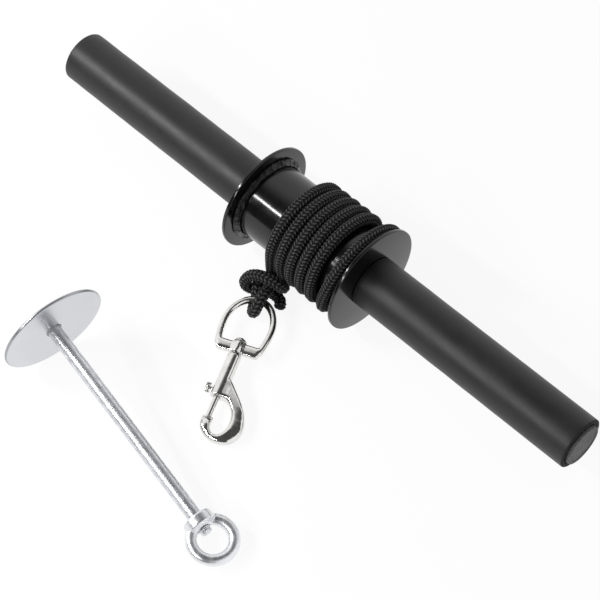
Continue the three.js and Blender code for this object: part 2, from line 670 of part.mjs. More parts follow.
function eyeNut() {
  const ring = new THREE.TorusGeometry(EYE_HOLE_RADIUS + EYE_WIRE, EYE_WIRE, 14, 40);
  ring.translate(EYE_PLACE, 0, 0);
  const boss = revolved([
    [0, NUT_BASE], [BOSS_RADIUS - BOSS_EDGE, NUT_BASE], [BOSS_RADIUS, NUT_BASE + BOSS_EDGE],
    [BOSS_RADIUS, BOSS_SHOULDER - BOSS_EDGE], [BOSS_RADIUS - BOSS_EDGE, BOSS_SHOULDER],
    [BOSS_NECK_DIAMETER / 2, BOSS_SHOULDER + BOSS_EDGE], [0, BOSS_SHOULDER + BOSS_EDGE],
  ], SMALL_STEPS);
  const opening = new THREE.SphereGeometry(EYE_HOLE_RADIUS, SMALL_STEPS, SMALL_STEPS / 2);
  opening.translate(EYE_PLACE, 0, 0);
  const bore = roundBar(THREAD_RADIUS + SEAT, NUT_BASE - OVERRUN, EYE_PLACE);
  return shaped([ring, boss], [opening, bore]);
}

// The set

function roller() {
  const bar = new THREE.Group();
  bar.position.z = BAR_HEIGHT;
  for (const [side, turn] of [['left', Math.PI], ['right', 0]]) {
    const half = new THREE.Group();
    half.rotation.z = turn;
    const weld = filletWeld(DRUM_RADIUS + SEAT, SPOOL_FACE - SEAT, WELD_LEG, WELD_RIPPLES);
    half.add(
      node(`grip_${side}`, gripSleeve(), RUBBER),
      node(`end_cap_${side}`, endCap(), CAP_PLASTIC),
      node(`flange_${side}`, flange(), BLACK_PAINT),
      node(`spool_weld_${side}`, weld, BLACK_PAINT),
    );
    bar.add(half);
  }
  bar.add(
    node('core_tube', coreTube(), BARE_STEEL),
    node('spool_drum', spoolDrum(), BLACK_PAINT),
    node('cord_winding', cordWinding(), BRAID),
    node('cord_stopper', cordStopper(), BRAID),
  );
  return bar;
}

// The free end of the cord starts where the winding leaves the front of the drum.
function cordEnd() {
  const turn = radians(SNAP_TURN);
  const [across, along] = CORD_END_ROUTE[0];
  const start = new THREE.Vector3(across, along, 0).applyAxisAngle(new THREE.Vector3(0, 0, 1), turn);
  const leaving = new THREE.Vector3(LAST_LANE, -WINDING_RADIUS, 0);
  const place = new THREE.Group();
  place.position.copy(leaving.sub(start));
  place.rotation.z = turn;
  const tail = polygonTube(cordEndPath(CORD_END_STEPS), CORD_RADIUS, CORD_END_SIDES);
  place.add(node('cord_tail', tail, BRAID), boltSnap());
  return place;
}

// The snap leans from the cord's loop, which holds up its ring, to the bottom of its bow.
function boltSnap() {
  const snap = new THREE.Group();
  const rise = (RING_LIFT - HOOK_THICKNESS / 2) / (RING_TOP - HOOK_BOTTOM);
  const lean = Math.asin(rise);
  snap.rotation.x = lean;
  snap.position.z = RING_LIFT - RING_TOP * rise;
  snap.add(
    node('swivel_ring', swivelRing(), NICKEL),
    node('swivel_pin', swivelPin(), NICKEL),
    node('hook_body', hookBody(), NICKEL),
    node('spring_bolt', springBolt(), NICKEL),
    node('thumb_knob', thumbKnob(), NICKEL),
    node('bolt_spring', boltSpring(), BARE_STEEL),
  );
  return snap;
}

// The pin lies on the rim of its disc and on the boss of its eye nut.
function loadingPin() {
  const pin = new THREE.Group();
  const lean = Math.atan2(DISC_RADIUS - BOSS_RADIUS, BOSS_SHOULDER - DISC_THICKNESS);
  pin.rotation.set(0, lean, radians(PIN_TURN), 'ZYX');
  const height = DISC_RADIUS * Math.cos(lean) + DISC_THICKNESS * Math.sin(lean);
  pin.position.set(PIN_PLACE_X, PIN_PLACE_Y, height);
  pin.add(
    node('pin_disc', pinDisc(), ZINC),
    node('pin_rod', pinRod(), ZINC),
    node('rod_weld', rodWeld(), ZINC),
    node('eye_nut', eyeNut(), ZINC),
  );
  return pin;
}

const wristRoller = new THREE.Group();
wristRoller.add(roller(), cordEnd(), loadingPin());

// The origin is on the surface, under the middle of the set.
wristRoller.updateMatrixWorld(true);
const extent = new THREE.Box3().setFromObject(wristRoller, true);
const middle = extent.getCenter(new THREE.Vector3());
wristRoller.position.set(-middle.x, -middle.y, -extent.min.z);

// Prints how long each wound form is and how close it comes to itself.
function report(name, path, diameter) {
  const length = pathLength(path).toFixed(0);
  console.log(`${name}: length ${length}, least gap ${leastGap(path, diameter).toFixed(2)}`);
}
report('cord winding', windingPath(12 * CORD_STEPS_PER_TURN), CORD_DIAMETER);
report('cord end', cordEndPath(8 * CORD_END_STEPS), CORD_DIAMETER);
report('bolt spring', springPath(6 * SPRING_STEPS_PER_CURL), SPRING_WIRE);

export default wristRoller;
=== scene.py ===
# %% [markdown]
# # Wrist roller with its loading pin
# A bar with two rubber grips carries a spool. A braided cord is wound on the spool
# and ends in a bolt snap, which lies in front of the bar. The loading pin, a disc
# with a rod and an eye nut, lies beside it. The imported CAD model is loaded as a
# fixed frame, and every piece is made in its place, in metres.

import math
import bpy
import mathutils.kdtree
import mathutils.noise
import numpy as np
from mathutils import Matrix, Vector


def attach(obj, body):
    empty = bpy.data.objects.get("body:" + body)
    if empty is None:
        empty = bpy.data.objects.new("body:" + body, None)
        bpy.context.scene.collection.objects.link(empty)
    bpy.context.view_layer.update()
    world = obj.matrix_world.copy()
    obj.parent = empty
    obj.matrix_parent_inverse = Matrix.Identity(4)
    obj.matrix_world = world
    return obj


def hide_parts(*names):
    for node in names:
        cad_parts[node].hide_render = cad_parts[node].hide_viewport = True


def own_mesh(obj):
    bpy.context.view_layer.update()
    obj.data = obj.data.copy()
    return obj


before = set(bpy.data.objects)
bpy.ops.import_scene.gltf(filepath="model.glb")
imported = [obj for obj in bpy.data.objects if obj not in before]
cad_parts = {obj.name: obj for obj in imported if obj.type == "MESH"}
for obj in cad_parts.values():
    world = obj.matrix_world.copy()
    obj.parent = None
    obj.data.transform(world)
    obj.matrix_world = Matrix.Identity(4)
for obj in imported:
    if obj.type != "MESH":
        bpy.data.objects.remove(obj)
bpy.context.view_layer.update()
MM = 0.001

# %% [markdown]
# ## Camera
# The photograph looks down on the bar at 55 degrees, from the right front, through a
# long lens. The position and the turn were solved from the bar's outline, so the
# camera is written as a place and three angles.

# %% Make the camera
CAMERA_PLACE = Vector((0.5952, -0.53996, 1.2039))
AZIMUTH, ELEVATION, ROLL = (math.radians(a) for a in (-45.88, 55.02, 0.26))
FOCAL_PIXELS, FRAME_PIXELS = 2118.6, 600

def new_object(name, data):
    """A new object in the scene, with this data."""
    made = bpy.data.objects.new(name, data)
    bpy.context.scene.collection.objects.link(made)
    return made

def frame_at(place, x, y, z):
    """One matrix of a place and three directions."""
    return Matrix.LocRotScale(place, Matrix((x, y, z)).transposed().to_quaternion(), None)

back = Vector((math.cos(ELEVATION) * math.cos(AZIMUTH),
               math.cos(ELEVATION) * math.sin(AZIMUTH), math.sin(ELEVATION)))
right = Vector((0, 0, 1)).cross(back).normalized()
up = back.cross(right)
turned_right = math.cos(ROLL) * right + math.sin(ROLL) * up
turned_up = math.cos(ROLL) * up - math.sin(ROLL) * right
camera_data = bpy.data.cameras.new("camera")
camera_data.sensor_width = 36
camera_data.lens = FOCAL_PIXELS * camera_data.sensor_width / FRAME_PIXELS
camera = new_object("camera", camera_data)
camera.matrix_world = frame_at(CAMERA_PLACE, turned_right, turned_up, back)
bpy.context.scene.camera = camera
print("lens in mm:", round(camera_data.lens, 1))

# %% [markdown]
# ## The cord's route
# One cord runs from a hole in the drum, nearly six times round it from lane to lane,
# down from the front of the drum, through the ring of the snap, and round itself in a
# knot. A simulation would slip off the drum, so the route is written as numbers: the
# winding follows a formula, and the free end is a smooth curve through points.

# %% The winding's centre line
BAR_AXIS = Vector((0, 0.089742, 0.0403))
WINDING_RADIUS = 33.0
FIRST_LANE, SECOND_LANE, LANE_PITCH, ANCHOR_LANE = 43.2, 26.2, 9.3, 37.4
FIRST_LIFT = 2.4  # how much further out the first turn starts
ANCHOR_ANGLE = -78
CROSSING_START, CROSSING_END, FIRST_CROSSING_START = 165, 330, 96  # degrees round the drum
CROSSING_DRIFT, LAST_CROSSING = 5, 4

def radial_point(across, radius, angle):
    """A point across, out from and round the bar's axis; 0 degrees is behind it, 90 above."""
    a = math.radians(angle)
    return (across, radius * math.cos(a), radius * math.sin(a))

def lane_of(turn):
    return FIRST_LANE if turn == 0 else SECOND_LANE - LANE_PITCH * (turn - 1)

def eased(value, start, end):
    """Rises softly from 0 at the start to 1 at the end."""
    t = min(max((value - start) / (end - start), 0), 1)
    return t ** 3 * (t * (6 * t - 15) + 10)

def winding_point(angle):
    """A turn keeps to its lane over the drum and crosses to the next lane under it."""
    turn = min(max(math.floor((angle - CROSSING_START) / 360), 0), LAST_CROSSING)
    start = CROSSING_START - CROSSING_DRIFT * (LAST_CROSSING - turn)
    if turn == 0:
        start = FIRST_CROSSING_START
    share = eased(angle - 360 * turn, start, CROSSING_END)
    across = lane_of(turn) + share * (lane_of(turn + 1) - lane_of(turn))
    radius = WINDING_RADIUS
    if turn == 0:
        across += (ANCHOR_LANE - FIRST_LANE) * (1 - eased(angle, ANCHOR_ANGLE, 0))
        radius += FIRST_LIFT * (1 - share) ** 2
    return radial_point(across, radius, angle)

# %% The free end's points, across, along and above the surface, in mm
CORD_END_ROUTE = [
    [2.1, 59.1, 31.4], [2.1, 59.1, 28.2], [2.4, 58.9, 24.2], [2.9, 57.5, 20.5],
    [3.3, 54.6, 17.4], [3.5, 50.6, 15.8], [3.6, 46.0, 16.9], [3.4, 41.2, 19.6],
    [2.4, 35.9, 18.9], [1.0, 32.2, 14.6], [-0.8, 32.0, 9.0], [-2.8, 35.2, 5.0],
    [-3.9, 39.9, 4.3], [-4.0, 44.3, 6.0], [-4.4, 48.0, 11.2], [-5.6, 52.2, 13.4],
    [-5.8, 57.6, 12.9], [-4.0, 62.4, 9.3], [1.0, 64.4, 5.6], [7.2, 62.6, 6.2],
    [11.4, 58.2, 10.5], [12.6, 53.0, 16.4], [9.8, 50.0, 23.2], [3.4, 49.6, 26.6],
    [-4.2, 50.5, 26.4], [-10.6, 50.6, 22.4], [-13.8, 49.8, 15.8], [-13.2, 51.0, 8.8],
    [-9.0, 53.0, 4.8], [-1.6, 54.9, 4.4], [5.8, 53.6, 4.4], [11.9, 49.8, 4.5],
    [13.6, 43.6, 4.4],
]
SNAP_PLACE = np.array([11.364, 2.029, 0])
SNAP_TURN = math.radians(24.2)
ACROSS = np.array([math.cos(SNAP_TURN), math.sin(SNAP_TURN), 0])
ALONG = np.array([-math.sin(SNAP_TURN), math.cos(SNAP_TURN), 0])

def snap_to_world(point):
    """From the snap's own directions, in mm, to the frame's."""
    return SNAP_PLACE + point[0] * ACROSS + point[1] * ALONG + np.array([0, 0, point[2]])

def smooth_curve(points, steps):
    """Centripetal Catmull-Rom through the points."""
    p = [np.asarray(q, float) for q in points]
    p = [2 * p[0] - p[1], *p, 2 * p[-1] - p[-2]]
    out = []
    for a, b, c, d in zip(p, p[1:], p[2:], p[3:]):
        t1 = math.dist(a, b) ** 0.5
        t2 = t1 + math.dist(b, c) ** 0.5
        t3 = t2 + math.dist(c, d) ** 0.5
        for k in range(steps):
            t = t1 + (t2 - t1) * k / steps
            ab = a + (b - a) * t / t1
            bc = b + (c - b) * (t - t1) / (t2 - t1)
            cd = c + (d - c) * (t - t2) / (t3 - t2)
            abc = ab + (bc - ab) * t / t2
            bcd = bc + (cd - bc) * (t - t1) / (t3 - t1)
            out.append(abc + (bcd - abc) * (t - t1) / (t2 - t1))
    return [*out, p[-2]]

# %% Join the anchor, the winding and the free end
ANCHOR_RADII, HANGING_DROPS = (22.0, 24.0, 26.0, 28.0), (3.0, 6.0)
WINDING_START, WINDING_END, WINDING_STEP = -68, 1980, 3
STEPS_BETWEEN_POINTS = 6
anchor = [radial_point(ANCHOR_LANE, radius, ANCHOR_ANGLE) for radius in ANCHOR_RADII]
winding = [winding_point(a) for a in np.arange(WINDING_START, WINDING_END, WINDING_STEP)]
hanging = [(winding[-1][0], -WINDING_RADIUS, -drop) for drop in HANGING_DROPS]
axis_mm = np.array(BAR_AXIS) / MM
route_mm = [axis_mm + np.array(p) for p in [*anchor, *winding, *hanging]]
route_mm += [snap_to_world(p) for p in CORD_END_ROUTE]
route = np.array(smooth_curve(route_mm, STEPS_BETWEEN_POINTS)) * MM
route_length = float(np.linalg.norm(np.diff(route, axis=0), axis=1).sum())
print("cord length in m:", round(route_length, 3))

# %% [markdown]
# ## The braided cord
# The real cord is braided from 16 yarns: eight columns of slanted stitches, which lean
# left and right in turn and meet in a herringbone. The photograph shows a stitch every
# 2.5 mm. A texture alone would leave a smooth outline, so the stitches are in the
# mesh: each ring of points follows the zigzag of the braid, and four rings make one
# stitch. The UV map counts columns round the cord and stitches along it, for the yarn
# in the material.

# %% Helpers: a route that can be asked for a point and a frame at any length
CORD_DIAMETER = 8.4 * MM
COLUMNS = 8
STITCH = 2.5 * MM
SLANT = 0.7  # how far a stitch climbs across its column, in stitches
RINGS_PER_STITCH = 4
SIDES_PER_COLUMN = 5

def measured(points):
    """The points without doubled ones, and the length from the start to each of them."""
    steps = np.linalg.norm(np.diff(points, axis=0), axis=1)
    keep = np.concatenate([[True], steps > 1e-9])
    points = points[keep]
    steps = np.linalg.norm(np.diff(points, axis=0), axis=1)
    return points, np.concatenate([[0], np.cumsum(steps)])

def frames_along(points):
    """A direction across the route that turns as little as it can."""
    along = np.gradient(points, axis=0)
    along /= np.linalg.norm(along, axis=1, keepdims=True)
    side = np.zeros_like(points)
    side[0] = np.cross(along[0], (0.3, 0.9, 0.2))
    for i in range(len(points)):
        s = side[max(i - 1, 0)]
        s = s - along[i] * np.dot(s, along[i])
        side[i] = s / np.linalg.norm(s)
    return side, np.cross(along, side)

def sampled(at, lengths, values):
    return np.stack([np.interp(at, lengths, values[:, k]) for k in range(3)], -1)

# %% Make the cord's mesh, one ring of points after the other
CREST, GROOVE_DEPTH, VALLEY_DEPTH = 0.12, 0.5, 0.62  # of the stitches, in mm
VALLEY_LOSS = 0.4  # how much shallower a valley is where it meets a groove
FLAT_END, ROUND_END = 6 * MM, 2.2 * MM  # where the braid fades in, and where the tip rounds off
TWIST_PER_METRE = 1.1

def braided_cord(name, points, radius, twist_per_metre):
    points, lengths = measured(points)
    side, other = frames_along(points)
    total = lengths[-1]
    rings = int(total / STITCH * RINGS_PER_STITCH)
    sides = COLUMNS * SIDES_PER_COLUMN
    ring = np.arange(rings + 1)[:, None]
    col = np.arange(sides)[None, :] / SIDES_PER_COLUMN
    zigzag = 1 - np.abs((col % 2) - 1)
    base = ring * total / rings
    ends = np.clip(np.minimum(base, total - base) / FLAT_END, 0, 1)
    at = np.clip(base - (zigzag - 0.5) * SLANT * STITCH * ends, 0, total)
    groove = np.abs((col % 1) - 0.5) * 2
    valley = 0.5 - 0.5 * np.cos(2 * math.pi * ring / RINGS_PER_STITCH)
    valley = VALLEY_DEPTH * valley * (1 - VALLEY_LOSS * groove)
    reach = radius + (CREST - GROOVE_DEPTH * groove ** 2 - valley) * MM
    from_end = np.clip(np.minimum(base, total - base) / ROUND_END, 0, 1)
    reach = reach * np.sqrt(np.clip(1 - (1 - from_end) ** 2, 0, 1))
    angle = 2 * math.pi * (col / COLUMNS + at * twist_per_metre)
    place = sampled(at, lengths, points)
    s, o = sampled(at, lengths, side), sampled(at, lengths, other)
    outwards = np.cos(angle)[..., None] * s + np.sin(angle)[..., None] * o
    verts = (place + reach[..., None] * outwards).reshape(-1, 3)
    i, j = np.meshgrid(np.arange(rings), np.arange(sides), indexing="ij")
    k = (j + 1) % sides
    quads = np.stack([i * sides + j, i * sides + k, (i + 1) * sides + k, (i + 1) * sides + j], -1)
    corner_u = np.stack([j, j + 1, j + 1, j], -1) / SIDES_PER_COLUMN
    corner_v = np.stack([i, i, i + 1, i + 1], -1) / RINGS_PER_STITCH
    mesh = bpy.data.meshes.new(name)
    mesh.from_pydata(verts.tolist(), [], quads.reshape(-1, 4).tolist())
    uv = mesh.uv_layers.new(name="braid")
    uv.data.foreach_set("uv", np.stack([corner_u, corner_v], -1).astype(np.float32).ravel())
    return new_object(name, mesh)

rope = braided_cord("rope", route, CORD_DIAMETER / 2, TWIST_PER_METRE)

# %% Close the cord's mesh, and say what it is
def only(*objects):
    """Selects these objects, or none, and nothing else."""
    bpy.ops.object.select_all(action="DESELECT")
    for o in objects:
        o.select_set(True)
        bpy.context.view_layer.objects.active = o

def edit(piece):
    """Opens a piece in edit mode, with all of it selected."""
    only(piece)
    bpy.ops.object.mode_set(mode="EDIT")
    bpy.ops.mesh.select_all(action="SELECT")

def merge_doubles(turn_outwards=True):
    """Joins the points that lie together, turns the faces outwards and leaves edit mode."""
    bpy.ops.mesh.select_all(action="SELECT")
    bpy.ops.mesh.remove_doubles(threshold=1e-6)
    if turn_outwards:
        bpy.ops.mesh.normals_make_consistent(inside=False)
    bpy.ops.object.mode_set(mode="OBJECT")

edit(rope)
merge_doubles()
bpy.ops.object.shade_smooth()
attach(rope, "roller")
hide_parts("cord_winding", "cord_tail")
print("rope faces:", len(rope.data.polygons))

# %% [markdown]
# ## Shader groups
# Several finishes share an effect, so each effect is built once as a group with named
# sockets: fine grain for rubber, plastic and paint, scratches and smudges for bare
# metal, and the yarn of the braid.

# %% A helper that makes a group and its sockets
def shader_group(name, vector, numbers, outputs):
    """A group that takes a vector and numbers, and puts out numbers."""
    group = bpy.data.node_groups.new(name, "ShaderNodeTree")
    sockets = [(vector, "INPUT", "Vector")] + [(number, "INPUT", "Float") for number in numbers]
    sockets += [(output, "OUTPUT", "Float") for output in outputs]
    for socket, way, kind in sockets:
        group.interface.new_socket(socket, in_out=way, socket_type="NodeSocket" + kind)
    return group, group.nodes.new("NodeGroupInput"), group.nodes.new("NodeGroupOutput")

def add(tree, kind, **settings):
    node = tree.nodes.new("ShaderNode" + kind)
    for key, value in settings.items():
        setattr(node, key, value)
    return node

def math_node(tree, operation, *values):
    """A Math node; each value is a number or another node's output."""
    node = add(tree, "Math", operation=operation)
    for socket, value in zip(node.inputs, values):
        if isinstance(value, (int, float)):
            socket.default_value = value
        else:
            tree.links.new(value, socket)
    return node.outputs[0]

def noise(tree, vector, scale, detail, roughness):
    node = add(tree, "TexNoise")
    node.inputs["Detail"].default_value = detail
    node.inputs["Roughness"].default_value = roughness
    tree.links.new(vector, node.inputs["Vector"])
    tree.links.new(scale, node.inputs["Scale"])
    return node.outputs["Fac"]

def spread(tree, value, low, high, start=0.3, end=0.7):
    """A number between two numbers, by a value that changes over the surface."""
    node = add(tree, "MapRange", clamp=True)
    for key, number in zip(("From Min", "From Max", "To Min", "To Max"), (start, end, low, high)):
        node.inputs[key].default_value = number
    tree.links.new(value, node.inputs["Value"])
    return node.outputs["Result"]

def parts_of(tree, vector):
    """The X, Y and Z of a vector."""
    node = add(tree, "SeparateXYZ")
    tree.links.new(vector, node.inputs[0])
    return node.outputs

# %% Fine grain: small pits for bump, and a slow change for colour
grain, g_in, g_out = shader_group(
    "fine_grain", "Vector", ["Grain Size", "Cloud Size"], ["Height", "Clouds"])
fine = noise(grain, g_in.outputs["Vector"], g_in.outputs["Grain Size"], 3, 0.6)
clouds = noise(grain, g_in.outputs["Vector"], g_in.outputs["Cloud Size"], 4, 0.5)
grain.links.new(fine, g_out.inputs["Height"])
grain.links.new(clouds, g_out.inputs["Clouds"])

# %% Handling marks: hairline scratches and smudges
marks, m_in, m_out = shader_group(
    "handling_marks", "Vector", ["Scratch Size", "Smudge Size"], ["Scratches", "Smudges"])
stretch = add(marks, "Mapping")  # makes the scratches long and thin, and slanted
stretch.inputs["Rotation"].default_value = (0.4, 0.3, 0.9)
stretch.inputs["Scale"].default_value = (0.04, 1, 1)
marks.links.new(m_in.outputs["Vector"], stretch.inputs["Vector"])
lines = noise(marks, stretch.outputs["Vector"], m_in.outputs["Scratch Size"], 2, 0.5)
FEW_LINES, FULL_LINES = 0.62, 0.72
smudge = noise(marks, m_in.outputs["Vector"], m_in.outputs["Smudge Size"], 5, 0.6)
marks.links.new(spread(marks, lines, 0, 1, FEW_LINES, FULL_LINES), m_out.inputs["Scratches"])
marks.links.new(smudge, m_out.inputs["Smudges"])

# %% Braid yarn: filaments along each stitch, and a crest mask that the cord's colour uses for painted shade in the gaps between the stitches and painted light on their tops
yarn, y_in, y_out = shader_group("braid_yarn", "UV", ["Filaments"], ["Height", "Crest"])
COLUMN_SHARPNESS, FILAMENT_HEIGHT = 0.6, 0.12
u, v, _ = parts_of(yarn, y_in.outputs["UV"])
turn_v = math_node(yarn, "MULTIPLY", v, 2 * math.pi)
stitch_wave = math_node(yarn, "MULTIPLY_ADD", math_node(yarn, "COSINE", turn_v), 0.5, 0.5)
half_turn_u = math_node(yarn, "MULTIPLY", u, math.pi)
column_wave = math_node(yarn, "ABSOLUTE", math_node(yarn, "SINE", half_turn_u))
column_top = math_node(yarn, "POWER", column_wave, COLUMN_SHARPNESS)
crest_mask = math_node(yarn, "MULTIPLY", stitch_wave, column_top)
filament = math_node(yarn, "COSINE", math_node(yarn, "MULTIPLY", turn_v, y_in.outputs["Filaments"]))
fine_height = math_node(yarn, "MULTIPLY_ADD", filament, FILAMENT_HEIGHT, crest_mask)
yarn.links.new(fine_height, y_out.inputs["Height"])
yarn.links.new(crest_mask, y_out.inputs["Crest"])
print("groups:", [g.name for g in bpy.data.node_groups])

# %% [markdown]
# ## Finishes
# Each finish has its own Principled shader. What is the same all over is set on the
# shader's sockets, and the groups only add what changes over the surface.

# %% A helper that starts a finish on Object coordinates
def new_finish(name, colour, roughness, metallic=0.0, specular=0.5):
    """A finish that is the same all over, to which patterns are added."""
    material = bpy.data.materials.new(name)
    material.use_nodes = True
    tree = material.node_tree
    shader = tree.nodes["Principled BSDF"]
    shader.inputs["Base Color"].default_value = (*colour, 1)
    shader.inputs["Roughness"].default_value = roughness
    shader.inputs["Metallic"].default_value = metallic
    shader.inputs["Specular IOR Level"].default_value = specular
    place = add(tree, "TexCoord")
    return material, tree, shader, place.outputs["Object"]

def use_group(tree, group, vector, **values):
    """Places a group, with Grain_Size=1 for its socket Grain Size."""
    node = add(tree, "Group", node_tree=group)
    tree.links.new(vector, node.inputs[0])
    for key, value in values.items():
        node.inputs[key.replace("_", " ")].default_value = value
    return node

def ramp(tree, value, low, high, start=0.3, end=0.7):
    """A colour between two colours, by a value that changes over the surface."""
    node = add(tree, "ValToRGB")
    node.color_ramp.elements[0].position = start
    node.color_ramp.elements[1].position = end
    node.color_ramp.elements[0].color = (*low, 1)
    node.color_ramp.elements[1].color = (*high, 1)
    tree.links.new(value, node.inputs["Fac"])
    return node.outputs["Color"]

def colour_by(tree, shader, *values):
    """The shader's colour, from a ramp."""
    tree.links.new(ramp(tree, *values), shader.inputs["Base Color"])

def gloss_by(tree, shader, *values):
    """The shader's roughness, from a spread."""
    tree.links.new(spread(tree, *values), shader.inputs["Roughness"])

def worn_gloss(tree, shader, marked, scratched, *values):
    """Roughness that changes with the smudges, and rises where hairlines cross them."""
    smudged = spread(tree, marked.outputs["Smudges"], *values)
    hairlines = math_node(tree, "MULTIPLY", marked.outputs["Scratches"], scratched)
    tree.links.new(math_node(tree, "ADD", smudged, hairlines), shader.inputs["Roughness"])

def bump(tree, shader, height, distance):
    """Small relief, this many metres high."""
    node = add(tree, "Bump")
    node.inputs["Strength"].default_value = 1
    node.inputs["Distance"].default_value = distance
    tree.links.new(height, node.inputs["Height"])
    tree.links.new(node.outputs["Normal"], shader.inputs["Normal"])

# %% Grip rubber: smooth, dark and satin; dull where the sleeve is cut off, and darker there by painted shade
GRIP_RUBBER, tree, shader, where = new_finish("grip_rubber", (0.012, 0.012, 0.013), 0.46, specular=0.52)
skin = use_group(tree, grain, where, Grain_Size=1100.0, Cloud_Size=55.0)
SMOOTH_TO, CUT_FROM = 0.2345, 0.2350  # along the bar from its middle, in metres
CUT_DULLNESS = 0.45
from_centre = math_node(tree, "ABSOLUTE", parts_of(tree, where)["X"])
dull_and_shaded_end = spread(tree, from_centre, 0, 1, SMOOTH_TO, CUT_FROM)
# painted shade: the cut end of each sleeve takes the darkest colour, for the shade on it; its dullness is
# real
colour_by(tree, shader, math_node(tree, "SUBTRACT", skin.outputs["Clouds"], dull_and_shaded_end),
          (0.0075, 0.0075, 0.008), (0.0115, 0.0115, 0.0122))
satin = spread(tree, skin.outputs["Clouds"], 0.42, 0.5)
dull = math_node(tree, "MULTIPLY_ADD", dull_and_shaded_end, CUT_DULLNESS, satin)
tree.links.new(dull, shader.inputs["Roughness"])
bump(tree, shader, skin.outputs["Height"], 0.00009)

# %% Spool paint: glossy black over welded steel
SPOOL_PAINT, tree, shader, where = new_finish("spool_paint", (0.004, 0.004, 0.0045), 0.15)
peel = use_group(tree, grain, where, Grain_Size=420.0, Cloud_Size=90.0)
colour_by(tree, shader, peel.outputs["Clouds"], (0.003, 0.003, 0.0035), (0.006, 0.006, 0.0065))
gloss_by(tree, shader, peel.outputs["Clouds"], 0.12, 0.18)
bump(tree, shader, peel.outputs["Clouds"], 0.00003)

# %% Weld paint: the same gloss over spatter and ripples
WELD_PAINT, tree, shader, where = new_finish("weld_paint", (0.004, 0.004, 0.0045), 0.08, specular=0.28)
spatter = use_group(tree, grain, where, Grain_Size=900.0, Cloud_Size=420.0)
colour_by(tree, shader, spatter.outputs["Clouds"], (0.003, 0.003, 0.0035), (0.007, 0.007, 0.0075))
gloss_by(tree, shader, spatter.outputs["Height"], 0.04, 0.1)
bump(tree, shader, spatter.outputs["Clouds"], 0.0013)

# %% Cap plastic: grey, moulded with a fine grain
CAP_PLASTIC, tree, shader, where = new_finish("cap_plastic", (0.10, 0.10, 0.105), 0.6)
moulded = use_group(tree, grain, where, Grain_Size=900.0, Cloud_Size=120.0)
colour_by(tree, shader, moulded.outputs["Height"], (0.055, 0.055, 0.058), (0.155, 0.155, 0.16), 0.36, 0.64)
gloss_by(tree, shader, moulded.outputs["Clouds"], 0.5, 0.68)
bump(tree, shader, moulded.outputs["Height"], 0.00012)

# %% Cord braid: black yarn, read from the cord's own UV map, with painted shade in the gaps between the stitches and painted light on their tops
CORD_BRAID, tree, shader, where = new_finish("cord_braid", (0.01, 0.01, 0.01), 0.5, specular=0.3)
uv_map = add(tree, "UVMap", uv_map="braid")
weave = use_group(tree, yarn, uv_map.outputs["UV"], Filaments=5.0)
# painted light and shade: the colour is near black in the gaps between the stitches and grey on their tops
colour_by(tree, shader, weave.outputs["Crest"], (0.002, 0.002, 0.002), (0.08, 0.08, 0.083), 0.25, 1.0)
gloss_by(tree, shader, weave.outputs["Crest"], 0.85, 0.4, 0.2, 1.0)
bump(tree, shader, weave.outputs["Height"], 0.0003)
rope.data.materials.append(CORD_BRAID)

# %% Bare steel of the tube, and spring steel
TUBE_STEEL, tree, shader, where = new_finish("tube_steel", (0.45, 0.45, 0.46), 0.4, metallic=1.0)
mill = use_group(tree, marks, where, Scratch_Size=700.0, Smudge_Size=50.0)
colour_by(tree, shader, mill.outputs["Smudges"], (0.36, 0.36, 0.37), (0.52, 0.52, 0.53))
gloss_by(tree, shader, mill.outputs["Scratches"], 0.34, 0.5, 0, 1)
SPRING_STEEL, tree, shader, where = new_finish("spring_steel", (0.5, 0.5, 0.5), 0.25, metallic=1.0)
drawn = use_group(tree, marks, where, Scratch_Size=2500.0, Smudge_Size=400.0)
colour_by(tree, shader, drawn.outputs["Smudges"], (0.4, 0.4, 0.41), (0.6, 0.6, 0.6))
gloss_by(tree, shader, drawn.outputs["Scratches"], 0.2, 0.4, 0, 1)

# %% Snap nickel: polished die casting with faint waves and hairlines
SNAP_NICKEL, tree, shader, where = new_finish("snap_nickel", (0.80, 0.79, 0.77), 0.12, metallic=1.0)
plated = use_group(tree, marks, where, Scratch_Size=2200.0, Smudge_Size=220.0)
colour_by(tree, shader, plated.outputs["Smudges"], (0.72, 0.71, 0.69), (0.86, 0.85, 0.83))
worn_gloss(tree, shader, plated, 0.12, 0.07, 0.17)
bump(tree, shader, plated.outputs["Smudges"], 0.00008)

# %% The loading pin's own frame: X runs from the plate along the rod
PIN = frame_at(Vector((-75.1, -85.658, 37.912)) * MM, (0.976577, -0.144208, -0.159689),
               (0.146083, 0.989272, 0), (0.157976, -0.023328, 0.987167))

def in_pin_frame(tree, where, **settings):
    """The place in the pin's own frame; the settings are a Mapping node's sockets."""
    node = add(tree, "Mapping", vector_type="TEXTURE")
    node.inputs["Rotation"].default_value = PIN.to_euler()
    for key, value in settings.items():
        node.inputs[key].default_value = value
    tree.links.new(where, node.inputs["Vector"])
    return node.outputs["Vector"]

# %% Zinc plate of the eye nut: bright, with soft smudges
ZINC_PLATE, tree, shader, where = new_finish("zinc_plate", (0.76, 0.77, 0.80), 0.36, metallic=1.0)
plated = use_group(tree, marks, where, Scratch_Size=1400.0, Smudge_Size=260.0)
colour_by(tree, shader, plated.outputs["Smudges"], (0.80, 0.81, 0.84), (0.91, 0.92, 0.94))
worn_gloss(tree, shader, plated, 0.1, 0.3, 0.44)
bump(tree, shader, plated.outputs["Smudges"], 0.00008)
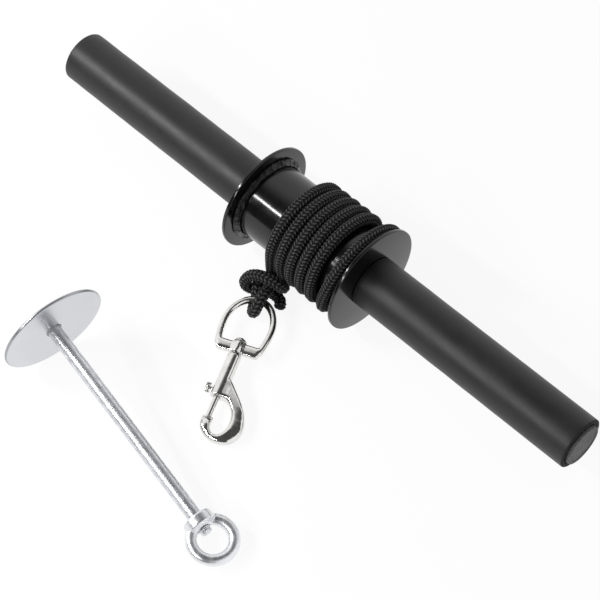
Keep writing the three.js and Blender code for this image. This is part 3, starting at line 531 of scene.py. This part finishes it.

# %% Zinc sheet of the round plate: smooth, faintly cloudy, and darker at its rim
ZINC_SHEET, tree, shader, where = new_finish("zinc_sheet", (0.74, 0.75, 0.78), 0.2, metallic=1.0)
rolled = use_group(tree, marks, where, Scratch_Size=900.0, Smudge_Size=45.0)
_, across, up = parts_of(tree, in_pin_frame(tree, where, Location=PIN.translation))
far_out = math_node(tree, "SQRT", math_node(
    tree, "MULTIPLY_ADD", across, across, math_node(tree, "MULTIPLY", up, up)))
FACE_TO, EDGE_FROM = 0.0370, 0.0376  # out from the plate's middle, in metres
MIX_FACTOR, MIX_A, MIX_B, MIX_RESULT = 0, 6, 7, 2  # a Mix node's sockets for colours
darker_rim = add(tree, "Mix", data_type="RGBA")
tree.links.new(spread(tree, far_out, 0, 1, FACE_TO, EDGE_FROM), darker_rim.inputs[MIX_FACTOR])
tree.links.new(ramp(tree, rolled.outputs["Smudges"], (0.67, 0.685, 0.71), (0.72, 0.73, 0.755)),
               darker_rim.inputs[MIX_A])
tree.links.new(ramp(tree, rolled.outputs["Scratches"], (0.42, 0.43, 0.45), (0.5, 0.51, 0.53)),
               darker_rim.inputs[MIX_B])
tree.links.new(darker_rim.outputs[MIX_RESULT], shader.inputs["Base Color"])
worn_gloss(tree, shader, rolled, 0.05, 0.28, 0.36)
bump(tree, shader, rolled.outputs["Smudges"], 0.0001)

# %% Zinc on the drawn rod: the marks run along it, so the pattern is turned and stretched
ZINC_ROD, tree, shader, where = new_finish("zinc_rod", (0.76, 0.77, 0.80), 0.3, metallic=1.0)
along_rod = in_pin_frame(tree, where, Scale=(5, 1, 1))
streaks = use_group(tree, marks, along_rod, Scratch_Size=1400.0, Smudge_Size=1300.0)
colour_by(tree, shader, streaks.outputs["Smudges"], (0.58, 0.59, 0.63), (0.86, 0.87, 0.90), 0.36, 0.6)
worn_gloss(tree, shader, streaks, 0.12, 0.52, 0.27, 0.36, 0.6)
bump(tree, shader, streaks.outputs["Smudges"], 0.00015)

# %% Zinc of the pin's weld: duller than the plate, and darker by painted shade, for the shade in the corner round the rod
SHADED_ZINC_WELD, tree, shader, where = new_finish("shaded_zinc_weld", (0.36, 0.37, 0.39), 0.5, metallic=1.0)
shaded_weld_marks = use_group(tree, marks, where, Scratch_Size=1400.0, Smudge_Size=700.0)
# painted shade: the weld's colour is much darker than the plate's, for the shade where the rod meets the
# plate
colour_by(tree, shader, shaded_weld_marks.outputs["Smudges"], (0.22, 0.225, 0.24), (0.48, 0.49, 0.51))
gloss_by(tree, shader, shaded_weld_marks.outputs["Smudges"], 0.62, 0.42)
bump(tree, shader, shaded_weld_marks.outputs["Smudges"], 0.0002)

# %% Give every CAD node its finish
FINISHES = {
    GRIP_RUBBER: ["grip_left", "grip_right"],
    TUBE_STEEL: ["core_tube"],
    CAP_PLASTIC: ["end_cap_left", "end_cap_right"],
    SPOOL_PAINT: ["spool_drum", "flange_left", "flange_right"],
    WELD_PAINT: ["spool_weld_left", "spool_weld_right"],
    CORD_BRAID: ["cord_winding", "cord_stopper", "cord_tail"],
    SNAP_NICKEL: ["swivel_ring", "swivel_pin", "hook_body", "spring_bolt", "thumb_knob"],
    SPRING_STEEL: ["bolt_spring"],
    ZINC_PLATE: ["eye_nut"],
    SHADED_ZINC_WELD: ["rod_weld"],
    ZINC_SHEET: ["pin_disc"],
    ZINC_ROD: ["pin_rod"],
}
for material, names in FINISHES.items():
    for name in names:
        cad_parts[name].material_slots[0].material = material
print("dressed nodes:", sum(len(names) for names in FINISHES.values()))

# %% [markdown]
# ## Turned pieces
# Grips, plugs, drum, flanges, disc and rod are round, as from a lathe. Each starts as
# the outline of its section, which spin turns round the axis. The CAD solids have flat
# facets that would show in the gloss, so these pieces stand for them.

# %% Helpers for every new piece
BAR_RIGHT = Matrix.Translation(BAR_AXIS)
BAR_LEFT = BAR_RIGHT @ Matrix.Rotation(math.pi, 4, "Z")
SIDES = (("left", BAR_LEFT), ("right", BAR_RIGHT))

def arc(radius, along, size, start, end, steps=6):
    """Points of [radius, along] on a rounded corner; 0 degrees points along the axis."""
    angles = [math.radians(start + (end - start) * k / steps) for k in range(steps + 1)]
    return [(radius + size * math.sin(t), along + size * math.cos(t)) for t in angles]

def round_start(radius, along, size, steps=6):
    """The rounded corner where a piece starts along its axis."""
    return arc(radius - size, along + size, size, 180, 90, steps)

def round_end(radius, along, size, steps=6):
    """The rounded corner where it ends."""
    return arc(radius - size, along - size, size, 90, 0, steps)

def settle(piece, place):
    """Puts a piece in its place and writes the place into its mesh."""
    only(piece)
    piece.matrix_world = place @ piece.matrix_world
    bpy.ops.object.transform_apply(location=True, rotation=True, scale=True)

def lathe(name, outline, place, steps, closed=False):
    """Spins an outline of [radius, along], in mm, round X and puts the piece in its place."""
    count = len(outline)
    chain = [(i, i + 1) for i in range(count - 1)] + ([(count - 1, 0)] if closed else [])
    mesh = bpy.data.meshes.new(name)
    mesh.from_pydata([(along * MM, 0, radius * MM) for radius, along in outline], chain, [])
    piece = new_object(name, mesh)
    edit(piece)
    bpy.ops.mesh.spin(steps=steps, angle=2 * math.pi, center=(0, 0, 0), axis=(1, 0, 0))
    merge_doubles()
    settle(piece, place)
    return piece

def modify(piece, kind, **settings):
    """Adds a modifier with these settings and applies it."""
    only(piece)
    bpy.ops.object.modifier_add(type=kind)
    modifier = piece.modifiers[-1]
    for key, value in settings.items():
        setattr(modifier, key, value)
    bpy.ops.object.modifier_apply(modifier=modifier.name)

def cut(piece, cutter):
    """Takes the cutter's shape out of the piece, and the cutter out of the scene."""
    modify(piece, "BOOLEAN", object=cutter, operation="DIFFERENCE", solver="EXACT")
    bpy.data.objects.remove(cutter)

def uneven(piece, amount, size):
    """Moves each point along its normal by a soft noise, as of a hand-made surface."""
    normals = [v.normal.copy() for v in piece.data.vertices]
    for vertex, normal in zip(piece.data.vertices, normals):
        vertex.co += normal * amount * mathutils.noise.noise(vertex.co / size)

def dress(piece, material, body, slot, *nodes, angle=35):
    """Gives a piece its finish and shading, ties it to its body, and hides the CAD nodes it stands for."""
    piece.data.materials.clear()
    piece.data.materials.append(material)
    only(piece)
    bpy.ops.object.shade_smooth_by_angle(angle=math.radians(angle))
    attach(piece, body)
    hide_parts(*nodes)
    print(piece.name, len(piece.data.polygons), "faces")

# %% [markdown]
# ## Grips and plugs
# The grips are rubber sleeves pushed over the tube, round at the outer rim and square
# where they meet the spool. Stations along their length let a soft noise lift them by
# a tenth of a millimetre, which keeps the line of light from being ruler-straight. A
# plug closes the tube at each end.

# %% Make the grips
GRIP_START, GRIP_END, GRIP_RADIUS, GRIP_BORE = 51.9, 235.3, 19.0, 15.3
GRIP_RIM, INNER_RIM, BORE_EDGE = 0.9, 0.3, 0.5
STATIONS = 46
stations = np.linspace(GRIP_START + INNER_RIM, GRIP_END - GRIP_RIM, STATIONS)[1:-1]
grip_outline = [
    (GRIP_BORE + BORE_EDGE, GRIP_START),
    *round_start(GRIP_RADIUS, GRIP_START, INNER_RIM, 4),
    *[(GRIP_RADIUS, a) for a in stations],
    *round_end(GRIP_RADIUS, GRIP_END, GRIP_RIM),
    (GRIP_BORE + BORE_EDGE, GRIP_END), (GRIP_BORE, GRIP_END - BORE_EDGE),
    (GRIP_BORE, GRIP_START + BORE_EDGE),
]
for side, place in SIDES:
    grip = lathe("rubber_grip_" + side, grip_outline, place, 144, closed=True)
    uneven(grip, 0.12 * MM, 14 * MM)
    dress(grip, GRIP_RUBBER, "roller", "grip_rubber", "grip_" + side)

# %% Make the plugs: a rimmed face, a shallow dish and a skirt inside the tube
PLUG_SEAT, PLUG_FACE, PLUG_RADIUS, PLUG_EDGE = 235.6, 237.7, 15.0, 0.8
DISH_RINGS, DISH_RADIUS, PLUG_DISH = (0, 9, 11.9), 12.9, 0.4
SKIRT_RADIUS, SKIRT_WALL, SKIRT_DEPTH = 12.7, 2.5, 16
plug_outline = [
    *[(radius, PLUG_FACE - PLUG_DISH) for radius in DISH_RINGS],
    *arc(DISH_RADIUS, PLUG_FACE - PLUG_DISH, PLUG_DISH, -90, 0, 4),
    *arc(PLUG_RADIUS - PLUG_EDGE, PLUG_FACE - PLUG_EDGE, PLUG_EDGE, 0, 90),
    (PLUG_RADIUS, PLUG_SEAT), (SKIRT_RADIUS, PLUG_SEAT), (SKIRT_RADIUS, PLUG_SEAT - SKIRT_DEPTH),
    (SKIRT_RADIUS - SKIRT_WALL, PLUG_SEAT - SKIRT_DEPTH), (SKIRT_RADIUS - SKIRT_WALL, PLUG_SEAT),
    (0, PLUG_SEAT),
]
for side, place in SIDES:
    plug = lathe("tube_plug_" + side, plug_outline, place, 96)
    dress(plug, CAP_PLASTIC, "roller", "cap_plastic", "end_cap_" + side)

# %% [markdown]
# ## Spool
# The spool is a drum of steel tube with two flanges welded on. The cord's inner end
# goes through a hole in the drum. The welds were laid by hand, so their beads are
# lumpy, and the gloss paint draws small sparks of light on them.

# %% Make the drum with its hole, and the flanges
DRUM_END, DRUM_RADIUS, DRUM_BORE = 48.7, 28.5, 26.0
FLANGE_IN, FLANGE_OUT, FLANGE_RADIUS, FLANGE_EDGE = 49.0, 51.6, 40.3, 0.6
HOLE_RADIUS, HOLE_REACH, HOLE_MIDDLE = 4.8, 12, 27
drum_outline = [(DRUM_BORE, -DRUM_END), (DRUM_RADIUS, -DRUM_END), (DRUM_RADIUS, DRUM_END),
                (DRUM_BORE, DRUM_END)]
drum = lathe("drum_tube", drum_outline, BAR_RIGHT, 192, closed=True)
hole_turn = math.radians(ANCHOR_ANGLE - 90)
bpy.ops.mesh.primitive_cylinder_add(
    vertices=48, radius=HOLE_RADIUS * MM, depth=HOLE_REACH * MM, rotation=(hole_turn, 0, 0),
    location=BAR_AXIS + Vector(radial_point(ANCHOR_LANE, HOLE_MIDDLE, ANCHOR_ANGLE)) * MM)
cut(drum, bpy.context.object)
dress(drum, SPOOL_PAINT, "roller", "spool_paint", "spool_drum")
flange_outline = [
    (GRIP_BORE, FLANGE_IN),
    *round_start(FLANGE_RADIUS, FLANGE_IN, FLANGE_EDGE, 4),
    *round_end(FLANGE_RADIUS, FLANGE_OUT, FLANGE_EDGE, 4),
    (GRIP_BORE, FLANGE_OUT),
]
for side, place in SIDES:
    plate = lathe("spool_flange_" + side, flange_outline, place, 192, closed=True)
    dress(plate, SPOOL_PAINT, "roller", "spool_paint", "flange_" + side)

# %% A helper for a hand-laid bead in the corner between a round part and a plate
BULGE, EDGE_LUMP, SCALE_SHARE, NOISE_SHARE = 0.12, 0.15, 0.5, 1.4

def weld_bead(name, place, root, face, leg, steps, scale_length, lump):
    """The bead's scales overlap like coins pushed over, and noise makes them uneven."""
    surface = []
    for k in range(11):
        t = math.pi / 2 * k / 10
        bulge = leg * BULGE * math.sin(2 * t)
        surface.append((root + leg * k / 10 + bulge, face - leg * (1 - k / 10) - bulge))
    bead = lathe(name, [*surface, (root - 0.2, face + 0.1)], Matrix(), steps, closed=True)
    for vertex in bead.data.vertices:
        turn = math.atan2(vertex.co.z, vertex.co.y)
        radius = math.hypot(vertex.co.y, vertex.co.z) / MM
        out, back = radius - root, face - vertex.co.x / MM
        if out + back < leg * 0.5:  # behind the bead's face
            continue
        middle = 1 - abs(out - back) / (leg * 1.1)  # 1 half way between the bead's edges
        ring = Vector((math.cos(turn), math.sin(turn), 3.7)) * root / scale_length
        scale_place = turn * root / scale_length + 0.5 * mathutils.noise.noise(ring * 1.3)
        scale = 1 - (scale_place % 1)
        rough = mathutils.noise.noise(ring * 1.7 + Vector((out, back, 0)) * 0.3)
        move = lump * max(middle, EDGE_LUMP) * (SCALE_SHARE * scale + NOISE_SHARE * rough) * MM
        vertex.co.x -= move
        vertex.co.y += move * math.cos(turn)
        vertex.co.z += move * math.sin(turn)
    settle(bead, place)
    return bead

# %% Make the spool's welds
for side, place, lump in (("left", BAR_LEFT, 0.9), ("right", BAR_RIGHT, 0.45)):
    bead = weld_bead("lumpy_weld_" + side, place, root=DRUM_RADIUS + 0.1, face=FLANGE_IN - 0.1,
                     leg=4.6, steps=320, scale_length=8.0, lump=lump)
    modify(bead, "SMOOTH", factor=0.5, iterations=3)
    dress(bead, WELD_PAINT, "roller", "spool_paint", "spool_weld_" + side, angle=180)

# %% Make the melted head on the cord's inner end
HEAD_RADIUS, HEAD_FLATNESS, HEAD_MIDDLE, HEAD_FOLDS, FOLD_DEPTH = 8.7, 0.34, 18.55, 9, 0.035
bpy.ops.mesh.primitive_uv_sphere_add(segments=64, ring_count=32, radius=HEAD_RADIUS * MM)
head = bpy.context.object
head.name = "melted_cord_head"
for vertex in head.data.vertices:
    spoke = math.atan2(vertex.co.y, vertex.co.x)
    vertex.co.z *= HEAD_FLATNESS
    near_rim = (1 - abs(vertex.co.z) / (3 * MM)) ** 2
    vertex.co *= 1 + FOLD_DEPTH * math.cos(HEAD_FOLDS * spoke) * near_rim
uneven(head, 0.35 * MM, 2.5 * MM)
head_place = BAR_AXIS + Vector(radial_point(ANCHOR_LANE, HEAD_MIDDLE, ANCHOR_ANGLE)) * MM
settle(head, Matrix.Translation(head_place) @ Matrix.Rotation(hole_turn, 4, "X"))
MELTED_CORD, tree, shader, where = new_finish("melted_cord", (0.012, 0.012, 0.013), 0.35)
drips = use_group(tree, grain, where, Grain_Size=900.0, Cloud_Size=200.0)
colour_by(tree, shader, drips.outputs["Clouds"], (0.006, 0.006, 0.007), (0.02, 0.02, 0.021))
gloss_by(tree, shader, drips.outputs["Clouds"], 0.25, 0.5)
bump(tree, shader, drips.outputs["Height"], 0.0001)
dress(head, MELTED_CORD, "roller", "cord_braid", "cord_stopper", angle=180)

# %% [markdown]
# ## Loading pin
# A thin round plate carries a rod. A small weld joins them, and an eye nut is screwed on
# the rod's thread. The thread's ridges climb as a screw: each point of the rod's end is
# moved in or out by where it lies along and round the rod.

# %% Sizes in the pin's own frame, where X runs along the rod
PLATE_RADIUS, PLATE_THICKNESS, PLATE_FLAT, PLATE_EDGE = 38.0, 2.5, 30.0, 1.2
ROD_RADIUS, ROD_START, ROD_STEP, ROD_EDGE = 5.0, 2.8, 4, 0.6
NUT_BASE, EYE_PLACE = 165.0, 183.0
THREAD_START, THREAD_END, THREAD_RADIUS = NUT_BASE - 0.3, 177.6, 4.0
THREAD_PITCH, THREAD_DEPTH, TIP_EDGE = 1.25, 0.68, 0.8

# %% Make the plate and its weld
plate = lathe("pin_plate", [
    (0, 0), (PLATE_FLAT, 0), *round_start(PLATE_RADIUS, 0, PLATE_EDGE),
    *round_end(PLATE_RADIUS, PLATE_THICKNESS, PLATE_EDGE),
    (PLATE_FLAT, PLATE_THICKNESS), (0, PLATE_THICKNESS)], PIN, 192)
dress(plate, ZINC_SHEET, "load_pin", "zinc_plate", "pin_disc")
PIN_BACK = PIN @ Matrix.Rotation(math.pi, 4, "Z")
bead = weld_bead("pin_weld", PIN_BACK, root=ROD_RADIUS, face=-PLATE_THICKNESS,
                 leg=0.9, steps=96, scale_length=2.2, lump=0.2)
dress(bead, SHADED_ZINC_WELD, "load_pin", "zinc_plate", "rod_weld", angle=180)

# %% Make the rod and cut its thread
rod_stations = np.arange(2 * ROD_STEP, NUT_BASE - ROD_STEP, ROD_STEP)
thread_stations = np.arange(THREAD_START, THREAD_END, THREAD_PITCH / 8)
rod = lathe("pin_rod_threaded", [
    (0, ROD_START), (ROD_RADIUS, ROD_START), *[(ROD_RADIUS, a) for a in rod_stations],
    *round_end(ROD_RADIUS, THREAD_START, ROD_EDGE, 4),
    *[(THREAD_RADIUS, a) for a in thread_stations], (0, thread_stations[-1])], Matrix(), 64)
for vertex in rod.data.vertices:
    along = vertex.co.x / MM
    radius = math.hypot(vertex.co.y, vertex.co.z) / MM
    if along < THREAD_START - 0.01 or radius < THREAD_RADIUS - 0.1:
        continue
    turn = math.atan2(vertex.co.z, vertex.co.y) / (2 * math.pi)
    ridge = 2 * abs((along / THREAD_PITCH - turn) % 1 - 0.5)
    bevelled_tip = THREAD_RADIUS - TIP_EDGE + THREAD_END - along
    inside = min(THREAD_RADIUS - THREAD_DEPTH * (1 - ridge), bevelled_tip)
    vertex.co.y *= inside / radius
    vertex.co.z *= inside / radius
uneven(rod, 0.01 * MM, 3.5 * MM)
settle(rod, PIN)
dress(rod, ZINC_ROD, "load_pin", "zinc_plate", "pin_rod")

# %% Make the eye nut: a ring and a boss melted into one forging, then bored
EYE_MIDDLE, EYE_WIRE, EYE_HOLE = 14.0, 4.0, 10
BOSS_RADIUS, BOSS_TOP, BOSS_NECK, BOSS_EDGE = 10.5, 172.5, 6.5, 1.2
NUT_BORE, BORE_DEPTH, BORE_MIDDLE = 4.3, 12, 170
boss = lathe("eye_boss", [
    (0, NUT_BASE), *round_start(BOSS_RADIUS, NUT_BASE, BOSS_EDGE, 4),
    *round_end(BOSS_RADIUS, BOSS_TOP, BOSS_EDGE, 4),
    (BOSS_NECK, BOSS_TOP + BOSS_EDGE), (0, BOSS_TOP + BOSS_EDGE)], Matrix(), 96)
bpy.ops.mesh.primitive_uv_sphere_add(
    segments=64, ring_count=32, radius=EYE_HOLE * MM, location=(EYE_PLACE * MM, 0, 0))
cut(boss, bpy.context.object)
only()
bpy.ops.mesh.primitive_torus_add(
    major_radius=EYE_MIDDLE * MM, minor_radius=EYE_WIRE * MM, major_segments=128, minor_segments=40,
    location=(EYE_PLACE * MM, 0, 0))
eye = bpy.context.object
eye.name = "forged_eye_nut"
boss.select_set(True)
bpy.ops.object.join()
modify(eye, "REMESH", mode="VOXEL", voxel_size=0.3 * MM)
modify(eye, "SMOOTH", factor=0.5, iterations=12)
uneven(eye, 0.05 * MM, 4 * MM)
bpy.ops.mesh.primitive_cylinder_add(
    vertices=64, radius=NUT_BORE * MM, depth=BORE_DEPTH * MM, rotation=(0, math.pi / 2, 0),
    location=(BORE_MIDDLE * MM, 0, 0))
cut(eye, bpy.context.object)
settle(eye, PIN)
dress(eye, ZINC_PLATE, "eye", "zinc_plate", "eye_nut")

# %% [markdown]
# ## Bolt snap
# The snap is a polished die casting: no edge is sharp, and the sections of its bow and
# ring are nearly round. A copy of each CAD solid is remeshed into even, small faces
# and smoothed until its edges melt, and then swelled back to its size. The stem keeps
# its shape, because the bolt slides in it.

# %% A helper that casts a copy of a CAD node
SNAP = frame_at(Vector((11.364, 2.029, 9.232)) * MM, (0.91212, 0.409923, 0),
                (-0.40896, 0.909977, 0.068505), (0.028082, -0.062485, 0.997651))
TO_SNAP = SNAP.inverted()
WALL_BAND, MOST_FALL = 0.35, 0.8

def crown(piece, middle, outer, inner, amount):
    """Domes the flat faces: a point near the outline comes down towards the middle plane.

    outer and inner are (width, depth) at walls that face away from middle and towards it.
    """
    turn = TO_SNAP.to_3x3()
    points = [TO_SNAP @ vertex.co / MM for vertex in piece.data.vertices]
    normals = [turn @ vertex.normal for vertex in piece.data.vertices]
    sides = []
    for (width, depth), facing in ((outer, 1), (inner, -1)):
        walls = [p for p, n in zip(points, normals) if abs(p.z) < WALL_BAND
                 and facing * (n.x * (p.x - middle[0]) + n.y * (p.y - middle[1])) > 0]
        tree = mathutils.kdtree.KDTree(len(walls))
        for k, p in enumerate(walls):
            tree.insert((p.x, p.y, 0), k)
        tree.balance()
        sides.append((tree, width, depth))
    for vertex, p in zip(piece.data.vertices, points):
        fall = sum(depth * (1 - min(tree.find((p.x, p.y, 0))[2] / width, 1)) ** 2
                   for tree, width, depth in sides)
        p.z *= 1 - min(fall, MOST_FALL) * amount(p.x, p.y, p.z)
        vertex.co = SNAP @ (p * MM)

def casting(name, node, voxel, light, heavy=0, softness=None, swell=0.0, dome=None):
    """Light smoothing goes over the whole copy; heavy smoothing follows softness(x, y, z)."""
    piece = new_object(name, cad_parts[node].data.copy())
    only(piece)
    bpy.ops.mesh.customdata_custom_splitnormals_clear()
    edit(piece)
    merge_doubles(turn_outwards=False)
    modify(piece, "REMESH", mode="VOXEL", voxel_size=voxel * MM)
    modify(piece, "SMOOTH", factor=0.5, iterations=light)
    if heavy:
        crown(piece, **dome)
        group = piece.vertex_groups.new(name="soft")
        for vertex in piece.data.vertices:
            group.add([vertex.index], softness(*(TO_SNAP @ vertex.co / MM)), "REPLACE")
        modify(piece, "SMOOTH", factor=0.5, iterations=heavy, vertex_group="soft")
        modify(piece, "DISPLACE", strength=swell * MM, mid_level=0, vertex_group="soft")
        modify(piece, "SMOOTH", factor=0.5, iterations=4, vertex_group="soft")
    return piece

# %% Cast the ring, the hook, the rivet and the knob
STEM_WIDTH, STEM_END, DOME_START, BAR_END = 4.8, -40.3, -44, 6.5

def clamped(value, low=0):
    return min(max(value, low), 1)

def bow_softness(x, y, z):
    """0 on the stem, and 1 from 2.5 mm away from it."""
    return clamped(max(abs(x) - STEM_WIDTH, STEM_END - y) / 2.5)

def bow_dome(x, y, z):
    """Fuller on the far part of the bow."""
    return bow_softness(x, y, z) * (0.3 + 0.7 * clamped((DOME_START - y) / 8))

def bar_softness(x, y, z):
    """1 on the ring's cross bar, and little on its bow."""
    return clamped((BAR_END - y) / 3, 0.15)

ring = casting("snap_ring", "swivel_ring", voxel=0.28, light=10, heavy=28, softness=bar_softness, swell=0.2,
               dome=dict(middle=(0, 20), outer=(3.0, 0.2), inner=(3.0, 0.2), amount=bar_softness))
dress(ring, SNAP_NICKEL, "ring", "snap_nickel", "swivel_ring", angle=180)
hook = casting("snap_hook", "hook_body", voxel=0.28, light=8, heavy=50, softness=bow_softness, swell=0.25,
               dome=dict(middle=(9, -53), outer=(8.5, 0.44), inner=(2.6, 0.3), amount=bow_dome))
dress(hook, SNAP_NICKEL, "hook", "snap_nickel", "hook_body", angle=50)
rivet = casting("snap_rivet", "swivel_pin", voxel=0.2, light=12)
dress(rivet, SNAP_NICKEL, "hook", "snap_nickel", "swivel_pin", angle=180)
knob = casting("snap_knob", "thumb_knob", voxel=0.12, light=2)
dress(knob, SNAP_NICKEL, "bolt", "snap_nickel", "thumb_knob", angle=60)

# %% Wind the spring behind the bolt; on the real snap the bolt presses it together
SPRING_WIRE, SPRING_COIL, SPRING_CURLS, BOLT_TRAVEL = 0.7, 1.85, 9, 10
wire_places = [(TO_SNAP @ v.co).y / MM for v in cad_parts["bolt_spring"].data.vertices]
spring_low, spring_high = min(wire_places), max(wire_places)
only()
bpy.ops.mesh.primitive_circle_add(vertices=12, radius=SPRING_WIRE / 2 * MM, location=(
    SPRING_COIL * MM, (spring_low + SPRING_WIRE / 2) * MM, 0))
spring = bpy.context.object
spring.name = "bolt_coil"
bpy.ops.object.transform_apply(location=True, rotation=True, scale=True)
modify(spring, "SCREW", axis="Y", iterations=SPRING_CURLS, steps=28, render_steps=28,
       screw_offset=(spring_high - spring_low - SPRING_WIRE) / SPRING_CURLS * MM)
bpy.ops.object.mode_set(mode="EDIT")
bpy.ops.mesh.select_mode(type="VERT")
bpy.ops.mesh.select_all(action="DESELECT")
bpy.ops.mesh.select_non_manifold()
bpy.ops.mesh.edge_face_add()
bpy.ops.mesh.select_all(action="SELECT")
bpy.ops.mesh.normals_make_consistent(inside=False)
bpy.ops.object.mode_set(mode="OBJECT")
settle(spring, SNAP)
dress(spring, SPRING_STEEL, "hook", "spring_steel", "bolt_spring", angle=60)
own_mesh(spring)

# %% [markdown]
# ## Floor and light
# The object lies on a plain white floor. Two long strip lights draw the line of light
# on the drum and the grips, and the white room fills the shadows. A dark cloth over
# the set, seen only in reflections, gives gloss its black parts.

# %% Floor: it shows as white to the camera and in gloss, and keeps the object's shadow
FLOOR_GLOW, GLOW_SHARE = 1.06, 0.85

def seen_directly(tree):
    """1 for a ray from the camera, or one that a glossy or clear surface sends on."""
    rays = add(tree, "LightPath")
    sent_on = math_node(tree, "MAXIMUM", rays.outputs["Is Glossy Ray"], rays.outputs["Is Transmission Ray"])
    return math_node(tree, "MAXIMUM", rays.outputs["Is Camera Ray"], sent_on)

only()
bpy.ops.mesh.primitive_plane_add(size=12, location=(0, 0, 0))
floor = bpy.context.object
floor.name = "floor"
FLOOR_WHITE, tree, shader, where = new_finish("floor_white", (0.8, 0.8, 0.8), 1.0, specular=0.0)
glow = add(tree, "Emission")
glow.inputs["Strength"].default_value = FLOOR_GLOW
mixed = add(tree, "MixShader")
tree.links.new(math_node(tree, "MULTIPLY", seen_directly(tree), GLOW_SHARE), mixed.inputs["Fac"])
tree.links.new(shader.outputs["BSDF"], mixed.inputs[1])
tree.links.new(glow.outputs["Emission"], mixed.inputs[2])
tree.links.new(mixed.outputs["Shader"], tree.nodes["Material Output"].inputs["Surface"])
floor.data.materials.append(FLOOR_WHITE)

# %% World: a white room
ROOM_LIGHT = 0.35
world = bpy.data.worlds.new("white_room")
bpy.context.scene.world = world
world.use_nodes = True
tree = world.node_tree
background = tree.nodes["Background"]
background.inputs["Color"].default_value = (1, 1, 1, 1)
room = math_node(tree, "MULTIPLY_ADD", seen_directly(tree), 1 - ROOM_LIGHT, ROOM_LIGHT)
tree.links.new(room, background.inputs["Strength"])

# %% Two strip lights: above and in front of the bar, the right one a little lower
STRIP_DISTANCE = 1.25

def strip_light(name, place_x, tilt, turn, length, width, power):
    """A long soft light that shines on the bar's axis from this tilt off the vertical."""
    data = bpy.data.lights.new(name, "AREA")
    data.shape = "RECTANGLE"
    data.size, data.size_y, data.energy = length, width, power
    tilt, turn = math.radians(tilt), math.radians(turn)
    back = Vector((0, -math.sin(tilt), math.cos(tilt)))
    along = Matrix.Rotation(turn, 3, back) @ Vector((1, 0, 0))
    place = BAR_AXIS + STRIP_DISTANCE * back + Vector((place_x, 0, 0))
    new_object(name, data).matrix_world = frame_at(place, along, back.cross(along), back)

strip_light("strip_left", place_x=-0.95, tilt=41, turn=-4, length=0.85, width=0.06, power=13)
strip_light("strip_right", place_x=-0.15, tilt=59, turn=-14, length=0.7, width=0.06, power=5)

# %% Dark cloth, seen only in reflections; to the left and the back it fades into the white room
CLOTH_PROFILE = [(-43, 1.75), (-20, 1.8), (0, 1.8), (20, 1.75), (45, 1.6), (65, 1.35), (85, 1.0),
                 (93, 0.95)]  # degrees off the vertical, and metres from the bar's axis
CLOTH_LENGTH, CLOTH_MIDDLE = 3.4, -0.2
FADE_START, FADE_END, CLOTH_BLACK, ROOM_WHITE = 0.8, 2.1, 0.07, 1.0
only()
bpy.ops.mesh.primitive_grid_add(x_subdivisions=1, y_subdivisions=48, size=1)
cloth = bpy.context.object
cloth.name = "dark_cloth"
tilts, reaches = zip(*CLOTH_PROFILE)
for vertex in cloth.data.vertices:
    tilt_degrees = tilts[0] + (vertex.co.y + 0.5) * (tilts[-1] - tilts[0])
    reach, tilt = np.interp(tilt_degrees, tilts, reaches), math.radians(tilt_degrees)
    vertex.co = (vertex.co.x * CLOTH_LENGTH + CLOTH_MIDDLE, BAR_AXIS.y - reach * math.sin(tilt),
                 BAR_AXIS.z + reach * math.cos(tilt))
DARK_CLOTH, tree, shader, where = new_finish("dark_cloth", (0, 0, 0), 1.0)
tree.nodes.remove(shader)
glow = add(tree, "Emission")
place_x, place_y, _ = parts_of(tree, where)
back_left = math_node(tree, "MULTIPLY_ADD", place_x, -1.5, place_y)
fade = spread(tree, back_left, CLOTH_BLACK, ROOM_WHITE, FADE_START, FADE_END)
fade.node.interpolation_type = "SMOOTHSTEP"
tree.links.new(fade, glow.inputs["Strength"])
tree.links.new(glow.outputs["Emission"], tree.nodes["Material Output"].inputs["Surface"])
cloth.data.materials.append(DARK_CLOTH)
cloth.visible_camera = False
cloth.visible_diffuse = False
cloth.visible_shadow = False

# %% Plain colour management
bpy.context.scene.view_settings.view_transform = "Standard"
